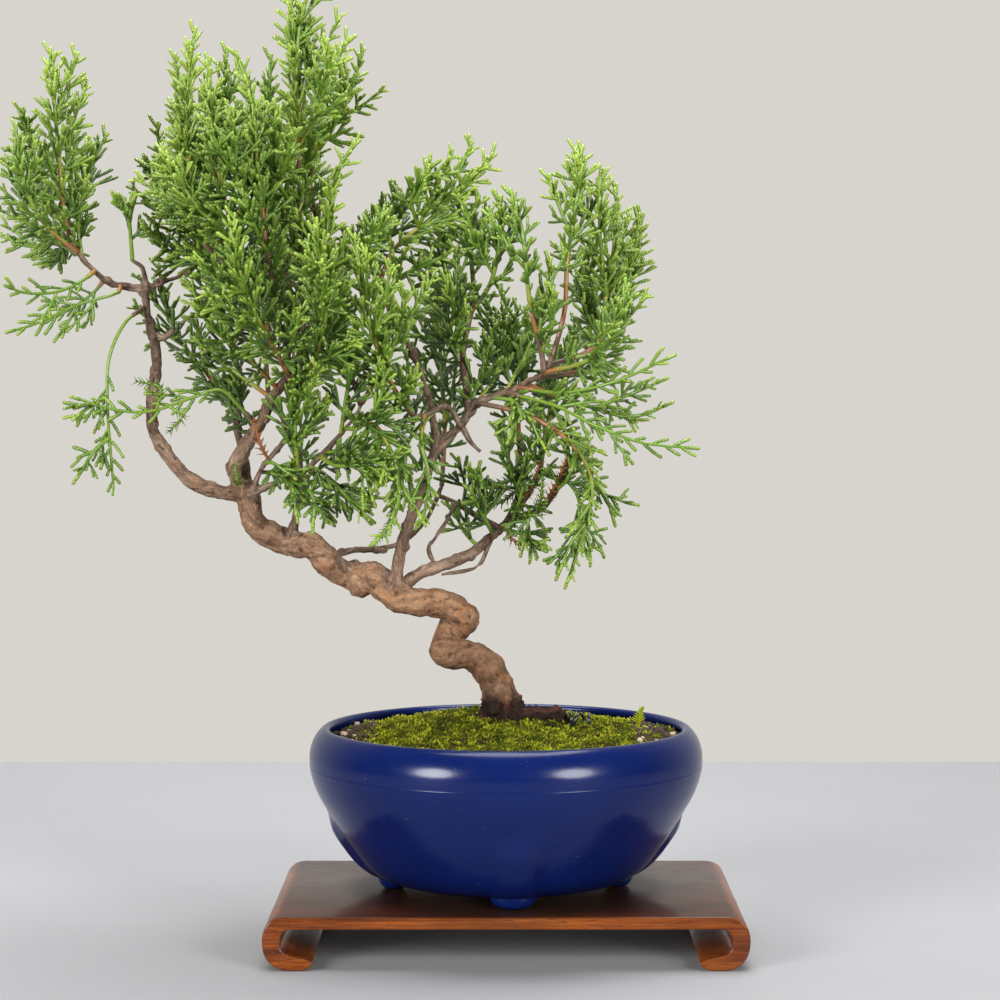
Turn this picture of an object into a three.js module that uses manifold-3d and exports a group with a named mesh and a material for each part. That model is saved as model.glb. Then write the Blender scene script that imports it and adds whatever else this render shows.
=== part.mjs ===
// Small itoigawa juniper bonsai: a winding trunk with two limbs of cord-like foliage,
// in a footed round plastic pot with moss, on a low wooden stand with scrolled ends.
// Millimetres, +Z up. The pot's axis is x = 0, y = 0 while the pieces are made.
import * as THREE from 'three';
import { mergeVertices } from 'three/addons/utils/BufferGeometryUtils.js';
import Module from 'manifold-3d';

const wasm = await Module();
wasm.setup();

// Driving dimensions
const CLEARANCE = 0.3;
const STAND_LENGTH = 159.4;
const STAND_DEPTH = 102.2;
const STAND_HEIGHT = 17.7;
const BOARD_THICKNESS = 4.2;
const STAND_OFFSET_Y = -1.6;
const POT_RADIUS = 67.5;
const POT_RIM_HEIGHT = 73.4;
const POT_RIM_INNER_RADIUS = 60.2;
const POT_BASE_RADIUS = 39.5;
const POT_BASE_HEIGHT = 21.4;
const POT_WALL = 3.1;
const POT_FLOOR_RADIUS = 38;
const POT_FLOOR_TOP = POT_BASE_HEIGHT + POT_WALL;
const POT_SEGMENTS = 34;
const POT_TURN = 0.06;
const DRAIN_RADIUS = 9;
const FEET = 4;
const FOOT_CIRCLE_RADIUS = 37;
const FOOT_BOTTOM = STAND_HEIGHT + CLEARANCE;
const FOOT_HEIGHT = 5.6;
const FOOT_SLIMNESS = 0.62;
const FOOT_SEGMENTS = 8;
const RIB_HALF_SIZE = [4.2, 7.6, 14.5];
const RIB_TILT = 0.72;
const RIB_PLACE = { radius: 46.4, height: 30.2 };
const SOIL_TOP = 69.2;
const SOIL_FIT = CLEARANCE + 0.45;
const SOIL_TOP_RADIUS = 61.4;
const SOIL_SEGMENTS = 28;
const MOSS_BOTTOM = SOIL_TOP + CLEARANCE;
const MOSS_RADIUS = 56.5;
const MOSS_EDGE_HEIGHT = 71.4;
const MOSS_CROWN_HEIGHT = 77.2;
const MOSS_FALLOFF = 1.6;
const MOSS_HUMP = { x: -13, y: 12, height: 2.4, spread: 260 };
const MOSS_SEGMENTS = 24;
const NET_SIZE = 30;
const NET_PITCH = 10;
const NET_BAR = 1.4;
const TRUNK_ROD = { sides: 9, lumps: 0.05 };
const ROOT_ROD = { sides: 7, lumps: 0.04 };
const BUMP_ROD = { sides: 6, lumps: 0 };
const LIMB_SIDES = 6;
const TWIG_SIDES = 4;
const TWIG_RADIUS = 2;
const LIMB_STEP = 10;
const SHOOT_SPACING = 3.05;
const SHOOT_RADIUS = 0.8;
const SHOOT_LEAN = [0.75, 1.05];
const SHOOT_REACH = [0.94, 1.56];
const SHOOT_SIZES = [1, 0.75, 0.5];
const SHOOT_SWINGS = [0, 0.35, -0.35, 0.7, -0.7];
const SHOOT_ROOM = 0.4;
const STEM_SIDES = 3;
const STEM_ROOM = 0.6;
const STEM_TIP = 3.5;
const BARE_LENGTHS = [6, 9, 12, 15];
const DEPTH_SHIFTS = [0, 3, -3, 6, -6, 9, -9, 12, -12, 15, -15];
const STEM_RADIUS = 1.0;
const STEM_TIP_RADIUS = 0.6;
const STEM_TWIST = 0.3;
const FIRST_NORMAL = new THREE.Vector3(0.31, 0.92, 0.24);

// The tree's points are written as seen from the front, [x, z, depth]: x and z on the upright
// plane through the pot's axis, and how far behind that plane the point lies. The eye is where
// those views meet.
const EYE = { x: -2, distance: 920, z: 195 };

function seen([x, z, depth]) {
  const spread = (EYE.distance + depth) / EYE.distance;
  return new THREE.Vector3(EYE.x + (x - EYE.x) * spread, depth, EYE.z + (z - EYE.z) * spread);
}

// Repeatable random numbers from 0 to 1
function seededRandom(seed) {
  let state = seed;
  return () => {
    state = (state * 1664525 + 1013904223) % 4294967296;
    return state / 4294967296;
  };
}

// Joining and cutting
function solid(geometry) {
  const bare = geometry.clone();
  bare.deleteAttribute('normal');
  bare.deleteAttribute('uv');
  const merged = mergeVertices(bare, 1e-4);
  return new wasm.Manifold(new wasm.Mesh({
    numProp: 3,
    vertProperties: merged.attributes.position.array,
    triVerts: new Uint32Array(merged.index.array),
  }));
}

function joined(solids) {
  return wasm.Manifold.union(solids);
}

function largestBody(shape) {
  const bodies = shape.decompose();
  bodies.sort((a, b) => b.volume() - a.volume());
  return bodies[0];
}

function geometryOf(shape) {
  const { vertProperties, triVerts } = largestBody(shape).getMesh();
  const geometry = new THREE.BufferGeometry();
  geometry.setAttribute('position', new THREE.BufferAttribute(vertProperties, 3));
  geometry.setIndex(new THREE.BufferAttribute(triVerts, 1));
  return geometry;
}

const bonsai = new THREE.Group();

function addPiece(name, shape, color, roughness) {
  const material = new THREE.MeshStandardMaterial({ color, roughness, metalness: 0 });
  const mesh = new THREE.Mesh(geometryOf(shape), material);
  mesh.name = name;
  bonsai.add(mesh);
}

// Turned shapes: a profile of [radius, height] pairs spun about the upright axis
function turned(profile, segments) {
  const points = profile.map(([radius, height]) => new THREE.Vector2(radius, height));
  return new THREE.LatheGeometry(points, segments).rotateX(Math.PI / 2);
}

// Stand: one board whose ends curl down and in, cut from an outline seen from the front
function standOutline() {
  const half = STAND_LENGTH / 2;
  const top = STAND_HEIGHT;
  const under = STAND_HEIGHT - BOARD_THICKNESS;
  const outline = new THREE.Shape();
  const curl = (side) => {
    const at = (inset, height) => [side * (half - inset), height];
    return [
      [at(3.2, top), at(0, 15.2), at(0, 9.4)],
      [at(0, 3.6), at(3.4, 0), at(9, 0)],
      [at(10, 0), at(11, 0), at(12, 0)],
      [at(14.4, 0.1), at(16.2, 1.1), at(16.4, 2.6)],
      [at(15, 3.7), at(13, 3.9), at(11.6, 4.2)],
      [at(7.6, 4.8), at(5.8, 6.6), at(5.8, 9.1)],
      [at(5.8, 11.4), at(7.2, under), at(9.4, under)],
    ];
  };
  outline.moveTo(-half + 7.2, top);
  curl(-1).forEach(([a, b, c]) => outline.bezierCurveTo(...a, ...b, ...c));
  outline.lineTo(half - 9.4, under);
  const right = curl(1).reverse();
  right.forEach(([a, b], index) => {
    const end = index + 1 < right.length ? right[index + 1][2] : [half - 7.2, top];
    outline.bezierCurveTo(...b, ...a, ...end);
  });
  outline.closePath();
  return outline;
}

function makeStand() {
  const board = new THREE.ExtrudeGeometry(standOutline(), {
    depth: STAND_DEPTH,
    bevelEnabled: false,
    curveSegments: 4,
  });
  board.rotateX(Math.PI / 2);
  board.translate(0, STAND_DEPTH / 2 + STAND_OFFSET_Y, 0);
  addPiece('stand', solid(board), 0x8a3f1c, 0.35);
}

// Pot: wall turned from one profile, with four feet that run up it as soft ribs
function potWall() {
  const outer = [
    [POT_BASE_RADIUS, POT_BASE_HEIGHT], [43.4, 22.7], [48.6, 26.6], [54.6, 34.3], [60.7, 44.1],
    [65.2, 52.3], [POT_RADIUS, 60.5], [67.1, 66.4], [65.2, 70.8], [62.4, POT_RIM_HEIGHT],
  ];
  const rim = [[60.9, 73.1], [POT_RIM_INNER_RADIUS, 72]];
  const inner = [[62, 69.4], [64.2, 62], [61.2, 51], [54, 39.2], [47.4, 30.4], [42, 25.8]];
  return { outer, rim, inner };
}

function potFoot(around) {
  const tab = turned([
    [0, 0], [4.2, 0], [6.2, 1.4], [7.4, 4], [7, FOOT_HEIGHT], [0, FOOT_HEIGHT],
  ], FOOT_SEGMENTS);
  tab.scale(FOOT_SLIMNESS, 1, 1).translate(FOOT_CIRCLE_RADIUS, 0, FOOT_BOTTOM).rotateZ(around);
  const rib = new THREE.SphereGeometry(1, 8, 6);
  rib.scale(...RIB_HALF_SIZE).rotateY(RIB_TILT);
  rib.translate(RIB_PLACE.radius, 0, RIB_PLACE.height).rotateZ(around);
  return [solid(tab), solid(rib)];
}

function makePot() {
  const { outer, rim, inner } = potWall();
  const floor = [
    [POT_FLOOR_RADIUS, POT_FLOOR_TOP], [DRAIN_RADIUS, POT_FLOOR_TOP], [DRAIN_RADIUS, POT_BASE_HEIGHT],
  ];
  const profile = [...outer, ...rim, ...inner, ...floor];
  profile.push(profile[0]);
  const pieces = [solid(turned(profile, POT_SEGMENTS))];
  for (let foot = 0; foot < FEET; foot += 1) {
    pieces.push(...potFoot(POT_TURN - Math.PI / 2 + (foot * 2 * Math.PI) / FEET));
  }
  const [innerTop] = inner;
  const hollow = turned([
    [0, POT_FLOOR_TOP], [POT_FLOOR_RADIUS, POT_FLOOR_TOP], ...[...inner].reverse(), [0, innerTop[1]],
  ], POT_SEGMENTS);
  addPiece('pot', joined(pieces).subtract(solid(hollow)), 0x1c2a74, 0.25);
}

// Soil fills the pot; moss is a lumpy mat on it; both are cut clear of the trunk's foot
function makeSoil(trunkHole) {
  const { inner } = potWall();
  const bottom = POT_FLOOR_TOP + 1 + 2 * CLEARANCE;
  const wall = [...inner].reverse().slice(1, -1);
  const profile = [
    [0, bottom],
    [POT_FLOOR_RADIUS, bottom],
    ...wall.map(([radius, height]) => [radius - SOIL_FIT, height]),
    [SOIL_TOP_RADIUS, SOIL_TOP],
    [0, SOIL_TOP],
  ];
  addPiece('soil', solid(turned(profile, SOIL_SEGMENTS)).subtract(trunkHole), 0x3a2c22, 1);
}

function mossHeight(x, y) {
  const rise = Math.max(0, 1 - (Math.hypot(x, y) / MOSS_RADIUS) ** MOSS_FALLOFF);
  const fromHump = (x - MOSS_HUMP.x) ** 2 + (y - MOSS_HUMP.y) ** 2;
  const hump = MOSS_HUMP.height * Math.exp(-fromHump / MOSS_HUMP.spread);
  const broadLumps = 0.7 * Math.sin(x * 0.31 + 1.3) * Math.cos(y * 0.27);
  const smallLumps = 0.45 * Math.sin(x * 0.57 - y * 0.49);
  const middle = MOSS_CROWN_HEIGHT - MOSS_EDGE_HEIGHT;
  return MOSS_EDGE_HEIGHT + rise * (middle + hump + broadLumps + smallLumps);
}

// The mat's edge wanders in and out by a few hundredths of its radius
function mossEdge(x, y) {
  const around = Math.atan2(y, x);
  return 1 + 0.035 * Math.sin(3 * around + 0.8) + 0.02 * Math.sin(7 * around);
}

function makeMoss(trunkHole) {
  const rings = [1, 0.92, 0.72, 0.48, 0.24, 0].map((part) => [MOSS_RADIUS * part, MOSS_EDGE_HEIGHT]);
  const base = [[0, MOSS_BOTTOM], [MOSS_RADIUS + 0.8, MOSS_BOTTOM]];
  const mat = turned([...base, ...rings], MOSS_SEGMENTS);
  const position = mat.attributes.position;
  for (let i = 0; i < position.count; i += 1) {
    const x = position.getX(i);
    const y = position.getY(i);
    const edge = mossEdge(x, y);
    if (position.getZ(i) > MOSS_BOTTOM + 1) position.setZ(i, mossHeight(x, y));
    position.setX(i, x * edge);
    position.setY(i, y * edge);
  }
  addPiece('moss', solid(mat).subtract(trunkHole), 0x7f9a1e, 1);
}

// Drain net: a square of plastic bars lying over the drain hole, under the soil
function makeDrainNet() {
  const bars = [];
  for (let place = -1; place <= 1; place += 1) {
    const along = new THREE.BoxGeometry(NET_SIZE, NET_BAR, 1);
    const across = new THREE.BoxGeometry(NET_BAR, NET_SIZE, 0.7);
    bars.push(solid(along.translate(0, place * NET_PITCH, 0)));
    bars.push(solid(across.translate(place * NET_PITCH, 0, 0)));
  }
  const height = POT_FLOOR_TOP + CLEARANCE + 0.5;
  addPiece('drain_net', joined(bars).translate([0, 0, height]), 0x23262b, 0.6);
}

// Trunk: [x, z, depth, radius] along its windings. It folds back on itself twice, so it is
// given in four stretches, whose round ends sit in one another.
const TRUNK_STRETCHES = [
  [[1.5, 68, 0, 9.8], [0.8, 75, 0, 8.6], [-1.8, 83, 0, 6.5], [-4.4, 90.4, -1, 5.7],
    [-8, 95.4, -2, 5.9], [-13.4, 98, -4, 5.2], [-18.4, 98.2, -4, 5.5], [-21.5, 99.2, -3, 5.4]],
  [[-20.4, 99.5, -2, 5], [-20, 104.4, 2, 4.8], [-16.2, 109, 4, 5.7], [-14.4, 111, 3, 5.6]],
  [[-14.6, 109.6, 3, 5.6], [-17.6, 113.2, 1.5, 5.7], [-23.6, 115.7, -1, 5.1], [-31, 116, -4, 4.8],
    [-36.4, 117.6, -4, 5.2], [-40.6, 121, -2, 5.3], [-45.8, 124.6, 1, 5.9], [-51.2, 125, 3, 5.1],
    [-55.8, 126, 2, 4.9], [-60.4, 129, -1, 4.6], [-64.2, 133.6, -3, 4.8], [-67, 136, -3, 4.8]],
  [[-68.6, 135.6, -1, 4.2], [-72, 135.8, 0, 4.5], [-75.8, 136.6, 2, 4.7], [-81, 139.2, 1, 4.6],
    [-85.2, 142, -1, 4.4], [-87.2, 146, -3, 4.2], [-87.8, 150.2, -3, 4.0], [-88.4, 154.2, -3, 3.9]],
];
const SURFACE_ROOTS = [
  [[2, 76, -2, 5.6], [8, 77, -4, 3.8], [13, 77.2, -4, 3.1], [18.5, 76.9, -4, 2.9]],
  [[-2, 77.5, -1, 5.6], [-8, 74.8, -3, 4.2], [-11, 73, -4, 2.6]],
  [[1, 76, 2, 5.6], [4, 75, 9, 3.8], [7, 73.6, 15, 2.4]],
];
const BUMPS = [
  [[-51.4, 122, 1, 3.4], [-49.4, 120.6, 1, 3.2]],
  [[-56.6, 129.4, 0, 2.2], [-57.4, 130.6, 0, 1.6]],
  [[-3.4, 80, -4, 4.2], [-3, 84, -3, 3.6]],
];

// Limbs: where each springs from, its points as seen, its radii at both ends
const LIMBS = {
  left_limb: {
    points: [[-88, 153, -3], [-98, 154, -5], [-104.6, 156, -8], [-110, 159.7, -10], [-114, 164, -12],
      [-118, 170, -13], [-121, 176, -13], [-121, 183, -12], [-120.4, 191, -10], [-119.4, 198, -8],
      [-120, 205, -8], [-121.6, 211, -9], [-122.8, 218, -10], [-123, 224, -10]],
    radii: [3.2, 1.6],
  },
  left_arm: {
    points: [[-123, 223.5, -10], [-130, 224, -10], [-136, 226, -11], [-140.5, 229.5, -12],
      [-144, 233, -13], [-147, 237, -15]],
    radii: [1.6, 1.1],
  },
  left_stub: {
    points: [[-123, 223, -10], [-124, 230.5, -11], [-127.5, 233, -13]],
    radii: [1.5, 1.0],
  },
  right_arm: {
    points: [[-123, 223, -10], [-118.3, 225.4, -8], [-113, 227, -5], [-108, 229, -2]],
    radii: [1.4, 1.0],
  },
  low_stub: {
    points: [[-120.6, 208, -8], [-117, 206.6, -10], [-113.5, 209.5, -12]],
    radii: [1.3, 0.9],
  },
  middle_limb: {
    points: [[-89, 153, -3], [-93.4, 161.4, -4], [-87.8, 171.6, -6], [-83.4, 178.4, -6],
      [-80.7, 185.3, -4], [-77.2, 189.8, -2], [-73.8, 194.4, 0], [-70.4, 201, 2], [-68.4, 207.4, 2],
      [-71, 211, 0], [-76.2, 216.6, -3]],
    radii: [3.0, 1.3],
  },
  rear_limb: {
    points: [[-88.6, 156, 0], [-90, 168, 5], [-92, 175, 10], [-91.6, 182, 16], [-89.6, 189, 21]],
    radii: [2.2, 1.2],
  },
  red_twig: {
    points: [[-86.5, 156, -6], [-83, 163, -9], [-77, 170, -12], [-74, 175, -13], [-71.4, 181.5, -14],
      [-71, 188, -16]],
    radii: [1.4, 0.9],
  },
  front_twig: {
    points: [[-86, 154, -5], [-79, 157, -9], [-70.7, 160, -13], [-63.6, 166, -16], [-58.4, 171.6, -18],
      [-51.6, 180, -20], [-49.2, 184.5, -21]],
    radii: [1.6, 1.0],
  },
  pale_branch: {
    points: [[-72.8, 140, 1], [-71.6, 149, 6], [-70.4, 158, 11], [-71.4, 168, 17], [-77, 180, 23],
      [-81.3, 188, 27]],
    radii: [1.8, 1.0],
  },
  behind_branch: {
    points: [[-60, 132, 2], [-52, 134, 8], [-44, 134.4, 14], [-36, 136.6, 20], [-27, 145, 28],
      [-22, 156, 34]],
    radii: [1.6, 1.1],
  },
  upright_limb: {
    points: [[-37, 120, -4], [-37.2, 127.5, -5], [-35.2, 137.4, -6], [-32.6, 144.3, -7],
      [-30, 151.2, -8], [-27.6, 158, -8], [-25, 166.5, -7], [-20.5, 172, -5], [-15.4, 176.7, -4],
      [-10.6, 184, -6], [-2, 187.4, -8], [3, 189.3, -9], [8.3, 192, -10], [13.4, 195.2, -11],
      [16, 200, -12]],
    radii: [2.6, 1.2],
  },
  knob: {
    points: [[-25, 166.5, -7], [-24.4, 175, -6], [-29.4, 195.5, 0], [-38, 212.5, 4],
      [-43.7, 224.5, 6]],
    radii: [1.7, 0.9],
  },
  knobby_arm: {
    points: [[-15.4, 176.8, -4], [-20.8, 183.4, -11], [-27, 180.4, -15], [-32, 180.2, -19]],
    radii: [1.5, 1.0],
  },
  upright_twig: {
    points: [[-12.6, 181.5, -5], [-13.6, 190, -3], [-14.7, 199, -1], [-13.3, 209, 0], [-10.8, 221, 0]],
    radii: [1.3, 0.8],
  },
  fork_left: { points: [[13.4, 195.2, -11], [12, 203, -13], [10.6, 208, -14]], radii: [1.2, 0.9] },
  right_limb: {
    points: [[-36, 121.5, -2], [-30.5, 125.4, 0], [-24, 128, 2], [-12.4, 132.4, 5], [-5.4, 138.4, 8],
      [-0.3, 142.6, 10], [2.4, 147.8, 12], [4.6, 154.6, 14], [4.8, 166, 17]],
    radii: [2.7, 1.0],
  },
  right_fork: { points: [[1, 144.5, 11], [7.2, 153, 8], [11.7, 160, 4]], radii: [1.3, 0.9] },
  right_twig: {
    points: [[1, 144, 11], [11.7, 148, 5], [18.4, 157, -2], [21.6, 165, -8]],
    radii: [1.3, 0.9],
  },
  back_twig: {
    points: [[-2, 141.4, 9], [-8.8, 145, 15], [-18, 150.6, 20], [-24, 153, 24]],
    radii: [1.1, 0.8],
  },
  dead_spur: {
    points: [[-24.6, 129, 2], [-26.4, 134.6, 0], [-21, 143, -2], [-17.4, 150, -3]],
    radii: [0.7, 0.5],
  },
  low_spur: {
    points: [[-5.4, 137.4, 8], [-9.6, 128.6, 5], [-22, 125.6, 1]],
    radii: [0.7, 0.5],
  },
  back_spur: {
    points: [[-15, 176.4, -4], [-12, 171, -7], [-8.8, 168, -8]],
    radii: [0.8, 0.6],
  },
};

// Rods with flat ends, bent along a stretch of a curve, and twisted if wanted
function bentRod(curve, start, end, startRadius, endRadius, sides, steps, twist = 0) {
  const rings = ringsAlong(curve, start, end, steps).map((ring, step) => ({
    ...ring,
    radius: THREE.MathUtils.lerp(startRadius, endRadius, step / steps),
  }));
  return rodThroughRings(rings, sides, { twist });
}

function ringsAlong(curve, start, end, steps) {
  const normal = FIRST_NORMAL.clone();
  const rings = [];
  for (let step = 0; step <= steps; step += 1) {
    const along = THREE.MathUtils.lerp(start, end, step / steps);
    const tangent = curve.getTangentAt(along);
    normal.addScaledVector(tangent, -normal.dot(tangent)).normalize();
    const side = new THREE.Vector3().crossVectors(normal, tangent);
    rings.push({ centre: curve.getPointAt(along), tangent, normal: normal.clone(), side });
  }
  return rings;
}

function rodThroughRings(rings, sides, { twist = 0, lumps = 0 }) {
  const steps = rings.length - 1;
  const rod = new THREE.CylinderGeometry(1, 1, 1, sides, steps);
  const position = rod.attributes.position;
  const vertex = new THREE.Vector3();
  const turn = new THREE.Vector2();
  for (let i = 0; i < position.count; i += 1) {
    const step = Math.round((position.getY(i) + 0.5) * steps);
    const ring = rings[step];
    turn.set(position.getX(i), position.getZ(i)).rotateAround(new THREE.Vector2(), step * twist);
    const radius = ring.radius * (1 + lumps * Math.sin(3 * turn.angle() + step * 0.9));
    vertex.copy(ring.centre);
    vertex.addScaledVector(ring.normal, turn.x * radius);
    vertex.addScaledVector(ring.side, turn.y * radius);
    position.setXYZ(i, vertex.x, vertex.y, vertex.z);
  }
  return rod;
}

// How far out and how wide the rings of a round end are, in radii
const ROUND_END = [[0.45, 0.86], [0.8, 0.5]];

function roundEnd(ring, way) {
  return ROUND_END.map(([out, size]) => ({
    ...ring,
    centre: ring.centre.clone().addScaledVector(ring.tangent, way * out * ring.radius),
    radius: ring.radius * size,
  }));
}

// Thick wood with its own radius at every point and round ends
function thickRod(route, { sides, lumps }, grow = 0) {
  const curve = curveThrough(route.map(seen));
  const steps = route.length - 1;
  const normal = FIRST_NORMAL.clone();
  const rings = route.map(([, , , radius], step) => {
    const tangent = curve.getTangent(step / steps);
    normal.addScaledVector(tangent, -normal.dot(tangent)).normalize();
    return {
      centre: curve.getPoint(step / steps),
      tangent,
      normal: normal.clone(),
      side: new THREE.Vector3().crossVectors(normal, tangent),
      radius: radius + grow,
    };
  });
  const foot = roundEnd(rings[0], -1).reverse();
  const top = roundEnd(rings[steps], 1);
  return solid(rodThroughRings([...foot, ...rings, ...top], sides, { lumps }));
}

function curveThrough(points) {
  return new THREE.CatmullRomCurve3(points, false, 'centripetal');
}

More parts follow.
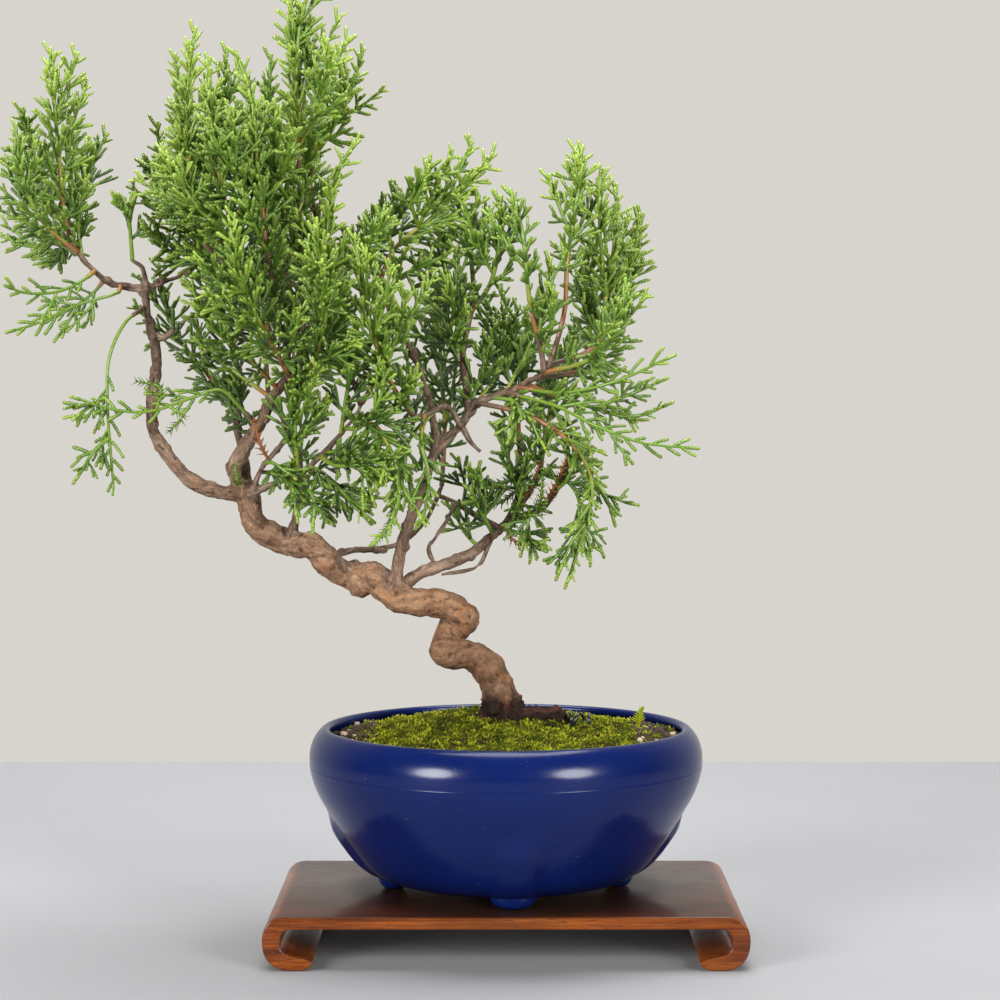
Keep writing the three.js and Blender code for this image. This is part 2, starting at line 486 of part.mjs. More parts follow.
// Sprays: the limb and place each grows from, how wide it spreads, how bright its green is, and
// its stem's points as seen. Tip points reach the outline of the crown.
const SPRAYS = [
  ['left_peak', 'left_arm', 1, 10, 2,
    [[-150.4, 247, -17], [-152, 264, -20], [-153.5, 284, -22], [-155, 303, -22]]],
  ['left_inner_peak', 'left_arm', 0.9, 6, 2,
    [[-145.8, 248, -8], [-145.6, 265, -2], [-140, 278, 2]]],
  ['left_outer_peak', 'left_arm', 0.94, 8, 1,
    [[-156, 243.8, -22], [-162, 252, -28], [-167, 268, -32], [-169, 285, -33]]],
  ['left_back', 'left_arm', 0.8, 8, 0,
    [[-151, 243, 2], [-158, 256, 12], [-158, 274, 18]]],
  ['left_droop', 'left_arm', 0.3, 6, 1,
    [[-133, 222, -18], [-146, 218, -24], [-162, 211, -28], [-169, 209, -30]]],
  ['left_front_droop', 'left_arm', 0.65, 6, 1,
    [[-145, 226, -24], [-153, 222.5, -32], [-164, 222, -40], [-170, 224, -44]]],
  ['left_fan', 'left_arm', 0.98, 6, 1,
    [[-154, 239, -8], [-163, 238, -2], [-171, 241, 4]]],
  ['left_rear_droop', 'left_arm', 0.5, 7, 0,
    [[-141, 222, 2], [-148, 217, 14], [-157, 212, 22]]],
  ['hanging_frond', 'left_limb', 0.93, 7, 1,
    [[-130, 212, -18], [-135.6, 200, -22], [-136.4, 185, -23], [-135.4, 168, -22],
      [-134.4, 155, -21]]],
  ['long_thin_shoot', 'middle_limb', 0.36, 6, 2,
    [[-91, 183, -13], [-98, 189, -19], [-107, 186.4, -23], [-121.7, 181.6, -25], [-133, 182, -28],
      [-147, 186, -31]]],
  ['right_arm_rise', 'right_arm', 1, 8, 1,
    [[-105, 236, -4], [-107, 250, -8], [-113, 260, -12], [-119, 266, -15]]],
  ['stub_rise', 'left_stub', 1, 6, 1,
    [[-128, 240, -15], [-129, 248, -18], [-133, 252, -21]]],
  ['crown_left', 'middle_limb', 1, 10, 2,
    [[-86, 226, -9], [-102, 238, -15], [-108.5, 272, -19], [-108, 294, -20], [-105.6, 313, -20]]],
  ['crown_far_left', 'middle_limb', 0.97, 9, 1,
    [[-92, 224, 4], [-110, 246, 8], [-118, 272, 8], [-119, 281, 7]]],
  ['crown_left_back', 'middle_limb', 0.9, 9, 1,
    [[-82, 222, 14], [-100, 244, 20], [-110, 282, 22], [-113, 304, 20]]],
  ['crown_left_front', 'middle_limb', 0.94, 9, 1,
    [[-84, 222, -18], [-95, 250, -32], [-100.6, 284, -36], [-101, 303, -34]]],
  ['crown_mid_front', 'red_twig', 1, 9, 1,
    [[-78, 215, -26], [-84, 258, -34], [-87, 290, -32], [-92.4, 305, -30]]],
  ['crown_mid', 'middle_limb', 0.86, 9, 0,
    [[-76, 232, 6], [-79, 262, 8], [-80.4, 290, 9], [-80, 304, 9]]],
  ['crown_peak', 'middle_limb', 0.8, 9, 2,
    [[-70, 230, -8], [-70.7, 277, -14], [-71.4, 298, -15], [-73.5, 328, -14]]],
  ['crown_right_peak', 'middle_limb', 0.74, 10, 2,
    [[-63, 228, 12], [-67, 268, 14], [-62, 290, 15], [-53, 310, 17]]],
  ['crown_right', 'front_twig', 0.98, 8, 2,
    [[-58, 212, -20], [-61, 245, -18], [-57, 264, -20], [-49.4, 275, -22]]],
  ['front_left_lobe', 'red_twig', 0.95, 11, 1,
    [[-79, 203, -30], [-90, 224, -40], [-93, 250, -46]]],
  ['front_mid_lobe', 'red_twig', 0.9, 11, 1,
    [[-66, 198, -27], [-61, 220, -38], [-66, 246, -46]]],
  ['rear_left_lobe', 'rear_limb', 1, 11, 0,
    [[-93, 202, 30], [-99, 222, 40], [-101, 250, 46]]],
  ['rear_far_left_lobe', 'rear_limb', 0.8, 10, 0,
    [[-102, 194, 26], [-114, 211, 34], [-119, 233, 37]]],
  ['rear_mid_lobe', 'pale_branch', 1, 11, 0,
    [[-82, 205, 34], [-79, 228, 46], [-78, 256, 50]]],
  ['rear_right_lobe', 'pale_branch', 0.75, 10, 0,
    [[-67, 194, 32], [-58, 216, 42], [-54, 242, 44]]],
  ['mid_left_shoot', 'middle_limb', 0.55, 9, 1,
    [[-88, 200, -12], [-102, 212, -24], [-108, 227, -30]]],
  ['mid_left_back', 'middle_limb', 0.5, 8, 0,
    [[-91, 194, 4], [-101, 202, 10], [-108, 214, 14]]],
  ['low_front_shoot', 'front_twig', 0.55, 8, 1,
    [[-58, 163, -26], [-48, 163, -32], [-39, 158, -35]]],
  ['low_front_rise', 'front_twig', 1, 9, 1,
    [[-44, 193, -26], [-37, 208, -32], [-34, 224, -36]]],
  ['low_hanging_shoot', 'front_twig', 0.88, 5, 2,
    [[-44, 176, -26], [-37, 160, -29], [-38, 146, -28], [-46, 135, -25]]],
  ['low_back_shoot', 'pale_branch', 0.3, 7, 0,
    [[-64, 158, 14], [-55, 152, 17], [-47, 147, 18]]],
  ['bright_rise', 'knobby_arm', 1, 9, 2,
    [[-38.6, 190, -26], [-44, 203, -31], [-48, 220, -34], [-52, 243, -34]]],
  ['bright_hanging', 'knobby_arm', 0.8, 5, 1,
    [[-29, 171, -22], [-26.6, 159.7, -24], [-27.7, 148, -24], [-30.4, 141, -23]]],
  ['slanting_shoot', 'knob', 1, 9, 2,
    [[-38, 237, 5], [-26, 247, 3], [-15.7, 257, 2], [-3, 270, 1]]],
  ['slanting_back', 'knob', 0.94, 9, 1,
    [[-47, 236, 14], [-44, 246, 18], [-40, 254, 20]]],
  ['slanting_front', 'knob', 0.86, 8, 1,
    [[-38, 226, -8], [-26.6, 232, -15], [-18, 236, -18]]],
  ['centre_peak', 'upright_twig', 1, 8, 1,
    [[-12, 238, 0], [-11.6, 248, 2], [-9, 256, 2]]],
  ['centre_back', 'upright_twig', 0.78, 9, 0,
    [[-18, 222, 12], [-22, 237, 19], [-21, 252, 22]]],
  ['centre_front', 'upright_twig', 0.86, 8, 1,
    [[-5, 226, -10], [-2, 242, -14], [-2, 256, -15]]],
  ['right_inner_peak', 'fork_left', 1, 8, 1,
    [[8.3, 218, -16], [6.9, 230, -18], [5.5, 243, -18], [1, 258, -17]]],
  ['right_peak', 'upright_limb', 1, 10, 2,
    [[20, 216, -12], [21, 234, -12], [23.7, 250, -12], [26, 273, -10]]],
  ['right_shoulder', 'upright_limb', 0.97, 9, 2,
    [[30, 204, -2], [34.5, 223, 2], [37.3, 243, 4], [37.6, 260, 5]]],
  ['right_outer', 'upright_limb', 0.9, 8, 1,
    [[30, 198, 10], [38, 214, 18], [43, 232, 22], [47, 250, 22]]],
  ['right_low_outer', 'upright_limb', 0.94, 8, 1,
    [[30, 200, -22], [37, 210, -28], [42, 226, -30]]],
  ['right_reach', 'upright_limb', 0.84, 6, 2,
    [[20, 188, -20], [38, 192, -26], [56, 200, -28]]],
  ['right_low_reach', 'upright_limb', 0.87, 7, 1,
    [[26, 184, 2], [44, 180, 8], [56, 184, 10]]],
  ['right_tip', 'upright_limb', 0.8, 6, 1,
    [[18, 183, -18], [30, 177, -22], [46, 171, -24], [64, 169, -24]]],
  ['right_hanging', 'upright_limb', 0.7, 5, 2,
    [[8, 180, -16], [22, 171, -21], [29, 160, -22], [29, 149, -22], [25.5, 137, -21],
      [21, 122, -21]]],
  ['right_low_tip', 'right_twig', 1, 6, 1,
    [[27, 160, -8], [34, 152, -4], [37.6, 143, -2]]],
  ['back_rise', 'right_limb', 1, 10, 0,
    [[4, 182, 24], [2, 202, 32], [-2, 226, 36]]],
  ['back_right_rise', 'right_fork', 1, 9, 0,
    [[14, 176, 10], [20, 194, 20], [24, 214, 30]]],
  ['back_centre_rise', 'behind_branch', 1, 10, 0,
    [[-21, 175, 38], [-22, 196, 44], [-24, 220, 46]]],
];

// Straight stretches that a node already fills, so that what comes next is bent clear of them
const filled = [];

function distanceBetween(a, b) {
  const p = a.to.clone().sub(a.from);
  const q = b.to.clone().sub(b.from);
  const r = a.from.clone().sub(b.from);
  const pp = p.dot(p);
  const qq = q.dot(q);
  const pq = p.dot(q);
  const qr = q.dot(r);
  const pr = p.dot(r);
  const spread = pp * qq - pq * pq;
  let s = spread > 1e-9 ? THREE.MathUtils.clamp((pq * qr - pr * qq) / spread, 0, 1) : 0;
  const t = THREE.MathUtils.clamp((pq * s + qr) / qq, 0, 1);
  s = THREE.MathUtils.clamp((pq * t - pr) / pp, 0, 1);
  return r.addScaledVector(p, s).addScaledVector(q, -t).length();
}

function crosses(stretch, room) {
  return filled.some((other) => (other.owner !== stretch.owner || (other.needle && stretch.needle))
    && distanceBetween(stretch, other) < stretch.radius + other.radius + room);
}

function stretchesAlong(curve, start, end, radius, owner) {
  const count = Math.max(2, Math.ceil((curve.getLength() * (end - start)) / 3));
  const stretches = [];
  for (let i = 0; i < count; i += 1) {
    const from = curve.getPointAt(THREE.MathUtils.lerp(start, end, i / count));
    const to = curve.getPointAt(THREE.MathUtils.lerp(start, end, (i + 1) / count));
    stretches.push({ from, to, radius, owner });
  }
  return stretches;
}

// Wood of the trunk and limbs, grown by a clearance where a hole for it is wanted
const wood = [];
const limbCurves = {};

function growWood() {
  wood.push(...TRUNK_STRETCHES.map((stretch) => thickRod(stretch, TRUNK_ROD)));
  wood.push(...SURFACE_ROOTS.map((root) => thickRod(root, ROOT_ROD)));
  wood.push(...BUMPS.map((bump) => thickRod(bump, BUMP_ROD)));
  TRUNK_STRETCHES.forEach((stretch) => {
    for (let i = 0; i + 1 < stretch.length; i += 1) {
      const radius = Math.max(stretch[i][3], stretch[i + 1][3]);
      filled.push({ from: seen(stretch[i]), to: seen(stretch[i + 1]), radius, owner: 'trunk' });
    }
  });
  Object.entries(LIMBS).forEach(([name, { points, radii }]) => {
    const curve = curveThrough(points.map(seen));
    limbCurves[name] = curve;
    const steps = Math.max(2, Math.round(curve.getLength() / LIMB_STEP));
    const sides = radii[0] > TWIG_RADIUS ? LIMB_SIDES : TWIG_SIDES;
    wood.push(solid(bentRod(curve, 0, 1, radii[0], radii[1], sides, steps)));
    filled.push(...stretchesAlong(curve, 0, 1, radii[0], 'trunk'));
  });
}

// A spray's route: wooden at its foot, then leafy, moved in depth until it clears what is there
function routeSpray([name, limb, place, , , points]) {
  const root = limbCurves[limb].getPointAt(place);
  for (const bareLength of BARE_LENGTHS) {
    for (const shift of DEPTH_SHIFTS) {
      const route = points.map(([x, z, depth], index) => {
        const share = Math.min(1, (index + 1) / 2);
        return seen([x, z, depth + shift * share]);
      });
      const curve = curveThrough([root, ...route]);
      const length = curve.getLength();
      const bare = bareLength / length;
      const leafy = stretchesAlong(curve, bare, 1, STEM_RADIUS, name);
      const twig = stretchesAlong(curve, 0, bare, STEM_RADIUS, 'trunk');
      if (![...leafy, ...twig].some((stretch) => crosses(stretch, STEM_ROOM))) {
        filled.push(...leafy, ...twig);
        return { curve, length, bare };
      }
    }
  }
  throw new Error(`${name} finds no clear way`);
}

// How far side shoots reach along a stem, from its foot (0) to its tip (1)
function reach(along) {
  return along < 0.35 ? 0.7 + 0.86 * along : 1 - 0.95 * (along - 0.35);
}

const GREENS = [0x2f5a26, 0x4c8030, 0x86ad3c];

// A leafy stem is three-sided, and every side shoot is drawn out of one of its faces
function growSpray(spray, index, { curve, length, bare }) {
  const [name, , , width, green] = spray;
  const random = seededRandom(1000 + index * 77);
  const start = bare + CLEARANCE / length;
  const steps = Math.round((length * (1 - start)) / SHOOT_SPACING);
  wood.push(solid(bentRod(curve, 0, bare, STEM_RADIUS, STEM_RADIUS, STEM_SIDES, 1)));
  const rod = bentRod(curve, start, 1, STEM_RADIUS, STEM_TIP_RADIUS, STEM_SIDES, steps, STEM_TWIST);
  const stem = openFaces(rod);
  for (let step = 0; step < steps; step += 1) {
    const along = (step + 0.5) / steps;
    const lean = THREE.MathUtils.lerp(...SHOOT_LEAN, random());
    const shootLength = width * reach(along) * THREE.MathUtils.lerp(...SHOOT_REACH, random());
    const side = step % STEM_SIDES;
    const face = stem.faces[(side * steps + steps - 1 - step) * 2 + (step % 2)];
    const tangent = curve.getTangentAt(THREE.MathUtils.lerp(start, 1, along));
    drawOut(stem, face, tangent, lean, shootLength, name);
  }
  const tipFace = stem.faces[steps * 2 * STEM_SIDES];
  drawOutTo(stem, tipFace, curve.getPointAt(1).addScaledVector(curve.getTangentAt(1), STEM_TIP));
  addPiece(`spray_${name}`, solid(closedFaces(stem)), GREENS[green], 0.7);
}

function openFaces(geometry) {
  geometry.deleteAttribute('normal');
  geometry.deleteAttribute('uv');
  const merged = mergeVertices(geometry, 1e-4);
  const position = merged.attributes.position;
  const points = [];
  for (let i = 0; i < position.count; i += 1) {
    points.push(new THREE.Vector3().fromBufferAttribute(position, i));
  }
  const faces = [];
  for (let i = 0; i < merged.index.count; i += 3) {
    faces.push([...merged.index.array.slice(i, i + 3)]);
  }
  return { points, faces };
}

function closedFaces({ points, faces }) {
  const geometry = new THREE.BufferGeometry().setFromPoints(points);
  geometry.setIndex(faces.flat());
  return geometry;
}

// The first way out of the face that clears all that is already there
function drawOut(mesh, face, tangent, lean, length, owner) {
  const [a, b, c] = face.map((corner) => mesh.points[corner]);
  const base = new THREE.Triangle(a, b, c).getMidpoint(new THREE.Vector3());
  const outward = new THREE.Triangle(a, b, c).getNormal(new THREE.Vector3());
  for (const size of SHOOT_SIZES) {
    for (const swing of SHOOT_SWINGS) {
      const side = outward.clone().applyAxisAngle(tangent, swing);
      const way = side.multiplyScalar(Math.sin(lean)).addScaledVector(tangent, Math.cos(lean));
      const from = base.clone().addScaledVector(way, 1.2);
      const to = base.clone().addScaledVector(way, length * size);
      const needle = { from, to, radius: SHOOT_RADIUS, owner, needle: true };
      if (!crosses(needle, SHOOT_ROOM)) {
        filled.push(needle);
        drawOutTo(mesh, face, to);
        return;
      }
    }
  }
}

function drawOutTo(mesh, face, tip) {
  const top = mesh.points.push(tip) - 1;
  const [a, b, c] = face;
  face[2] = top;
  mesh.faces.push([b, c, top], [c, a, top]);
}

growWood();
const routes = SPRAYS.map(routeSpray);
SPRAYS.forEach((spray, index) => growSpray(spray, index, routes[index]));
const trunkHole = joined([
  thickRod(TRUNK_STRETCHES[0], TRUNK_ROD, CLEARANCE),
  ...SURFACE_ROOTS.map((root) => thickRod(root, ROOT_ROD, CLEARANCE)),
  ...BUMPS.map((bump) => thickRod(bump, BUMP_ROD, CLEARANCE)),
]);
addPiece('trunk', joined(wood), 0x8c6950, 0.85);
makeSoil(trunkHole);
makeMoss(trunkHole);
makeDrainNet();
makePot();
makeStand();

// The origin is under the middle of the whole, on the surface it stands on
const box = new THREE.Box3().setFromObject(bonsai);
bonsai.position.set(-(box.min.x + box.max.x) / 2, -(box.min.y + box.max.y) / 2, -box.min.z);

export default bonsai;
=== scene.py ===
import math

import bmesh
import bpy
from mathutils import Matrix, Vector, geometry, kdtree, noise


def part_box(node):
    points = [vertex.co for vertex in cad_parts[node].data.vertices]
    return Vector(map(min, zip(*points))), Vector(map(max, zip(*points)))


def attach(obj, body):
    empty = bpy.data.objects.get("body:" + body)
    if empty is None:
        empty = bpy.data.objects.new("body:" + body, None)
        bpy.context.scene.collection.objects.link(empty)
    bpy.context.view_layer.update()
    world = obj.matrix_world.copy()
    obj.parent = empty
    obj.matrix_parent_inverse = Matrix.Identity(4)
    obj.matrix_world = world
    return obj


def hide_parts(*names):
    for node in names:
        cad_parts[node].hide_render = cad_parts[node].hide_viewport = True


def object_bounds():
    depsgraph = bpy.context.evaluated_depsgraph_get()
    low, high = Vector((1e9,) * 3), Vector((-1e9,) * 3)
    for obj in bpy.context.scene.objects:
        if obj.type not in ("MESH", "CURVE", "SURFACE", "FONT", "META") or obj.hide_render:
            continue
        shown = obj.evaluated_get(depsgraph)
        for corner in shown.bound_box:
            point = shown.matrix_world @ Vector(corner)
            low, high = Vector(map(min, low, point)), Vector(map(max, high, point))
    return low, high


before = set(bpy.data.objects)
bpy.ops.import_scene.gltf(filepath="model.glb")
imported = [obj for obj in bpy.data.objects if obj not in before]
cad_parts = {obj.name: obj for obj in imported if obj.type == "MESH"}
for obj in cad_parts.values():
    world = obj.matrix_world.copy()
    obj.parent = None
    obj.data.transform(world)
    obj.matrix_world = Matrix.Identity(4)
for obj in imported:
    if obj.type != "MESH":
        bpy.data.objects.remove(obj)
cad_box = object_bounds()

# Camera
# A long lens just under a metre in front of the tree, a little over the height of its middle and
# tipped a little down. The pot's axis, which everything is placed from, is read from the frame.
MM = 0.001
CAMERA_LENS = 96.8
CAMERA_ASIDE = 2.03 * MM
CAMERA_AWAY = 920.63 * MM
CAMERA_HEIGHT = 194.73 * MM
CAMERA_TILT = math.radians(87.293)
pot_low, pot_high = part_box("pot")
POT_X = (pot_low.x + pot_high.x) / 2
camera = bpy.data.objects.new("camera", bpy.data.cameras.new("camera"))
camera.data.lens = CAMERA_LENS
camera.data.clip_start = 0.01
camera.location = (POT_X - CAMERA_ASIDE, -CAMERA_AWAY, CAMERA_HEIGHT)
camera.rotation_euler = (CAMERA_TILT, 0, 0)
bpy.context.scene.collection.objects.link(camera)
bpy.context.scene.camera = camera

# Stand
# One hardwood board whose two ends curl down and in as scrolls, cut from the solid and sanded
# over at its edges, oiled to a satin shine. The grain runs along the board.
STAND_HALF = 79.7
STAND_TOP = 17.7
STAND_BOARD = 4.2
STAND_FRONT = -52.7
STAND_DEPTH = 102.2
STAND_EDGE_ROUND = 0.55 * MM


class Shade:
    """A value in a finish, so that its maths is written as an expression."""

    def __init__(self, finish, socket):
        self.finish = finish
        self.socket = socket

    def __add__(self, other):
        return self.finish.maths("ADD", self, other)

    def __sub__(self, other):
        return self.finish.maths("SUBTRACT", self, other)

    def __rsub__(self, other):
        return self.finish.maths("SUBTRACT", other, self)

    def __mul__(self, other):
        return self.finish.maths("MULTIPLY", self, other)

    __radd__ = __add__


class Finish:
    """A surface finish: one material whose nodes all come from node()."""

    def __init__(self, name, **constants):
        self.material = bpy.data.materials.new(name)
        self.material.use_nodes = True
        self.tree = self.material.node_tree
        self.shader = self.tree.nodes["Principled BSDF"]
        for socket, value in constants.items():
            self.shader.inputs[socket.replace("_", " ")].default_value = value

    def node(self, kind, output=0, settings=None, inputs=None, stops=None):
        made = self.tree.nodes.new("ShaderNode" + kind)
        for setting, value in (settings or {}).items():
            setattr(made, setting, value)
        if stops:
            ramp = made.color_ramp
            while len(ramp.elements) < len(stops):
                ramp.elements.new(1)
            for element, (place, colour) in zip(ramp.elements, stops):
                element.position = place
                element.color = (*colour, 1)
        for socket, value in (inputs or {}).items():
            if isinstance(value, Shade):
                self.tree.links.new(value.socket, made.inputs[socket])
            elif value is not None:
                made.inputs[socket].default_value = value
        return Shade(self, made.outputs[output])

    def maths(self, operation, first, second):
        return self.node("Math", 0, {"operation": operation}, {0: first, 1: second})

    def held(self, value, low, high):
        """The value as it goes from low to high, as 0 to 1 and no further."""
        return self.node("MapRange", 0, {"interpolation_type": "SMOOTHSTEP"},
                         {"Value": value, "From Min": low, "From Max": high})

    def blend(self, share, first, second):
        pair = {0: share, 6: first, 7: second}
        pair = {socket: (*c, 1) if isinstance(c, tuple) else c for socket, c in pair.items()}
        return self.node("Mix", 2, {"data_type": "RGBA"}, pair)

    def graded(self, value, *stops):
        return self.node("ValToRGB", 0, None, {0: value}, stops)

    def place(self, stretch=(1, 1, 1)):
        """Object coordinates in millimetres, stretched where a pattern runs along the piece."""
        at = self.node("TexCoord", "Object")
        scale = tuple(1000 * part for part in stretch)
        return self.node("Mapping", 0, None, {"Vector": at, "Scale": scale})

    def cloud(self, at, size, detail=3.0, rough=0.55):
        return self.node("TexNoise", 0, None,
                         {"Vector": at, "Scale": 1 / size, "Detail": detail, "Roughness": rough})

    def finished(self, colour, roughness=None, height=None, depth=0.1, coat=None):
        """Joins the values up with the shader, and gives the material."""
        if height is not None:
            normal = self.node("Bump", 0, None, {"Height": height, "Distance": depth * MM})
            self.tree.links.new(normal.socket, self.shader.inputs["Normal"])
        for socket, value in (("Base Color", colour), ("Roughness", roughness),
                              ("Coat Weight", coat)):
            if value is not None:
                self.tree.links.new(value.socket, self.shader.inputs[socket])
        return self.material


def shaped(name, bm):
    """Makes a mesh of a shape and lets the shape go."""
    mesh = bpy.data.meshes.new(name)
    bm.to_mesh(mesh)
    bm.free()
    return mesh


def fitted(name, bm, material, slot, *nodes):
    """Makes a piece of the bonsai, which rides with it and stands for its CAD nodes."""
    mesh = shaped(name, bm)
    mesh.shade_smooth()
    mesh.materials.append(material)
    piece = bpy.data.objects.new(name, mesh)
    bpy.context.scene.collection.objects.link(piece)
    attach(piece, "root")
    if nodes:
        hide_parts(*nodes)
    return piece


def stand_curl(side):
    """The scroll at one end of the board, as curves of three points each from its top."""
    under = STAND_TOP - STAND_BOARD
    curves = [
        [(3.2, STAND_TOP), (0, 15.2), (0, 9.4)],
        [(0, 3.6), (3.4, 0), (9, 0)],
        [(10, 0), (11, 0), (12, 0)],
        [(14.4, 0.1), (16.2, 1.1), (16.4, 2.6)],
        [(15, 3.7), (13, 3.9), (11.6, 4.2)],
        [(7.6, 4.8), (5.8, 6.6), (5.8, 9.1)],
        [(5.8, 11.4), (7.2, under), (9.4, under)],
    ]
    start = (7.2, STAND_TOP)
    outline = []
    for bend in curves:
        corners = [Vector((x, z)) for x, z in (start, *bend)]
        outline += geometry.interpolate_bezier(*corners, 9)[:-1]
        start = bend[2]
    outline.append(Vector(start))
    return [Vector((POT_X + side * (STAND_HALF - p.x) * MM, STAND_FRONT * MM, p.y * MM))
            for p in outline]


stand = bmesh.new()
stand_outline = stand_curl(-1) + stand_curl(1)[::-1]
stand_verts = [stand.verts.new(point) for point in stand_outline]
stand_face = stand.faces.new(stand_verts)
stand_back = bmesh.ops.extrude_face_region(stand, geom=[stand_face])["geom"]
bmesh.ops.translate(stand, vec=(0, STAND_DEPTH * MM, 0),
                    verts=[part for part in stand_back if isinstance(part, bmesh.types.BMVert)])
bmesh.ops.recalc_face_normals(stand, faces=stand.faces)
stand_rims = [edge for edge in stand.edges
              if edge.verts[0].co.y == edge.verts[1].co.y and len(edge.link_faces) == 2]
bmesh.ops.bevel(stand, geom=stand_rims, offset=STAND_EDGE_ROUND, offset_type="OFFSET",
                affect="EDGES", segments=3, profile=0.5, material=-1)

hardwood = Finish("oiled_hardwood", Coat_Roughness=0.1, Specular_IOR_Level=0.2)
board = hardwood.place((0.05, 0.3, 1))
figure = hardwood.cloud(board, 5.2, 4)
fibre = hardwood.cloud(hardwood.place((0.035, 0.6, 1)), 0.55, 5, 0.7)
pores = hardwood.held(hardwood.cloud(hardwood.place((0.09, 1, 1)), 0.32, 2), 0.6, 0.72)
wood_tone = figure * 0.55 + fibre * 0.45
wood = hardwood.graded(wood_tone, (0.3, (0.03, 0.006, 0.0015)), (0.45, (0.085, 0.018, 0.003)),
                       (0.56, (0.19, 0.045, 0.005)), (0.72, (0.34, 0.095, 0.012)))
wood = hardwood.blend(pores * 0.7, wood, (0.016, 0.004, 0.002))
# The board's top is painted darker than its edges: painted shade on the top face.
stand_height = hardwood.node("SeparateXYZ", 2, None, {0: hardwood.place()})
wood = hardwood.blend(hardwood.held(stand_height, 17.0, 17.6) * 0.72, wood, (0.014, 0.006, 0.003))
worn = hardwood.cloud(hardwood.place(), 17, 4)
# Round the pot's foot the board is painted darker, duller and less glossy: painted shadow of the
# pot and painted reflection of it.
from_pot = hardwood.node("VectorMath", 1, {"operation": "LENGTH"}, {0: hardwood.node(
    "Mapping", 0, None, {"Vector": hardwood.node("TexCoord", "Object"),
                         "Location": (-1000 * POT_X, 0, 0), "Scale": (1000, 1000, 0)})})
dark_foot_and_pot_shadow = 1 - hardwood.held(from_pot + worn * 8, 50, 64)
wood = hardwood.blend(dark_foot_and_pot_shadow * 0.75, wood, (0.008, 0.004, 0.0025))
stand_piece = fitted("oiled_stand", stand, hardwood.finished(
    wood, 0.2 + worn * 0.2 + dark_foot_and_pot_shadow * 0.1, fibre * 0.5 - pores, 0.05, 0.16 - dark_foot_and_pot_shadow * 0.12),
    "stand_wood", "stand")
stand_piece.data.set_sharp_from_angle(angle=math.radians(40))

# Pot
# A round bowl moulded in glossy blue plastic: a rolled-in rim, a soft shoulder with the mould's
# parting line, and four ribs that run down the wall into rounded feet.
POT_OUTER = [(39.5, 21.4), (43.4, 22.7), (48.6, 26.6), (54.6, 34.3), (60.7, 44.1), (65.2, 52.3),
             (67.5, 60.5), (67.1, 66.4), (65.2, 70.8), (62.4, 73.4)]
POT_RIM = [(60.9, 73.1), (60.2, 72)]
POT_INNER = [(62, 69.4), (64.2, 62), (61.2, 51), (54, 39.2), (47.4, 30.4), (42, 25.8)]
POT_FLOOR = [(38, 24.5), (9, 24.5), (9, 21.4)]
POT_PARTING = 60.3
PARTING_LINE = [(-0.08, -0.22), (-0.03, -0.08), (-0.03, 0.08), (-0.08, 0.2)]
POT_WIDEST = 67.48
POT_STEPS = 150
POT_TURN = 0.06
POT_FEET = 4
FEET_RADIUS = 38.5
FOOT_BOTTOM = 18.0
FOOT_PROFILE = [(0.01, FOOT_BOTTOM), (4.6, FOOT_BOTTOM), (6.8, 19.4), (8.0, 22), (7.4, 25)]
RIB_TOP = 47
RIB_RUN = 11
RIB_HALF_WIDTH = 7.4
RIB_SWELL = 2.9


def curve_through(points, spacing):
    """Points a given distance apart along the rounded curve through the ones given, which is
    the curve that the frame's own stems follow."""
    ends = [points[0] * 2 - points[1], *points, points[-1] * 2 - points[-2]]
    fine = []
    for a, b, c, d in zip(ends, ends[1:], ends[2:], ends[3:]):
        before = math.sqrt((b - a).length) or 1
        here = math.sqrt((c - b).length) or 1
        after = math.sqrt((d - c).length) or 1
        leave = ((b - a) / before - (c - a) / (before + here) + (c - b) / here) * here
        arrive = ((c - b) / here - (d - b) / (here + after) + (d - c) / after) * here
        for step in range(24):
            t = step / 24
            fine.append(b + leave * t + (c * 3 - b * 3 - leave * 2 - arrive) * t ** 2
                        + (b * 2 - c * 2 + leave + arrive) * t ** 3)
    fine.append(points[-1].copy())
    marks = [0.0]
    for a, b in zip(fine, fine[1:]):
        marks.append(marks[-1] + (b - a).length)
    count = max(2, round(marks[-1] / spacing))
    route = []
    index = 0
    for step in range(count + 1):
        mark = marks[-1] * step / count
        while index < len(marks) - 2 and marks[index + 1] < mark:
            index += 1
        share = (mark - marks[index]) / (marks[index + 1] - marks[index])
        route.append(fine[index].lerp(fine[index + 1], min(1, share)))
    return route


def round_profile(points, spacing):
    """A rounded profile through (radius, height) pairs."""
    return [(p.x, p.y) for p in curve_through([Vector((x, y, 0)) for x, y in points], spacing)]


def spun(bm, profile, steps, closed=True):
    """Turns a profile of (radius, height) pairs about the pot's axis."""
    verts = [bm.verts.new((POT_X + radius * MM, 0, height * MM)) for radius, height in profile]
    edges = [bm.edges.new(pair) for pair in zip(verts, verts[1:])]
    if closed:
        edges.append(bm.edges.new((verts[-1], verts[0])))
    bmesh.ops.spin(bm, geom=verts + edges, cent=(POT_X, 0, 0), axis=(0, 0, 1),
                   angle=math.tau, steps=steps, use_merge=True)
    bmesh.ops.remove_doubles(bm, verts=bm.verts, dist=0.02 * MM)
    bmesh.ops.recalc_face_normals(bm, faces=bm.faces)


def step_up(value, low, high):
    """A value as it goes from low to high, as 0 to 1 with soft ends."""
    share = min(1, max(0, (value - low) / (high - low)))
    return share * share * (3 - 2 * share)


def rib_swell(height, across):
    """How far a rib stands out of the wall, at a height and a distance from its middle."""
    body = max(0, 1 - (abs(across) / RIB_HALF_WIDTH) ** 3)
    return RIB_SWELL * step_up(RIB_TOP - height, 0, RIB_RUN) * math.sqrt(body)


def joined(bm, name, part):
    """Adds a part that was shaped on its own to its piece."""
    mesh = shaped(name, part)
    bm.from_mesh(mesh)
    bpy.data.meshes.remove(mesh)


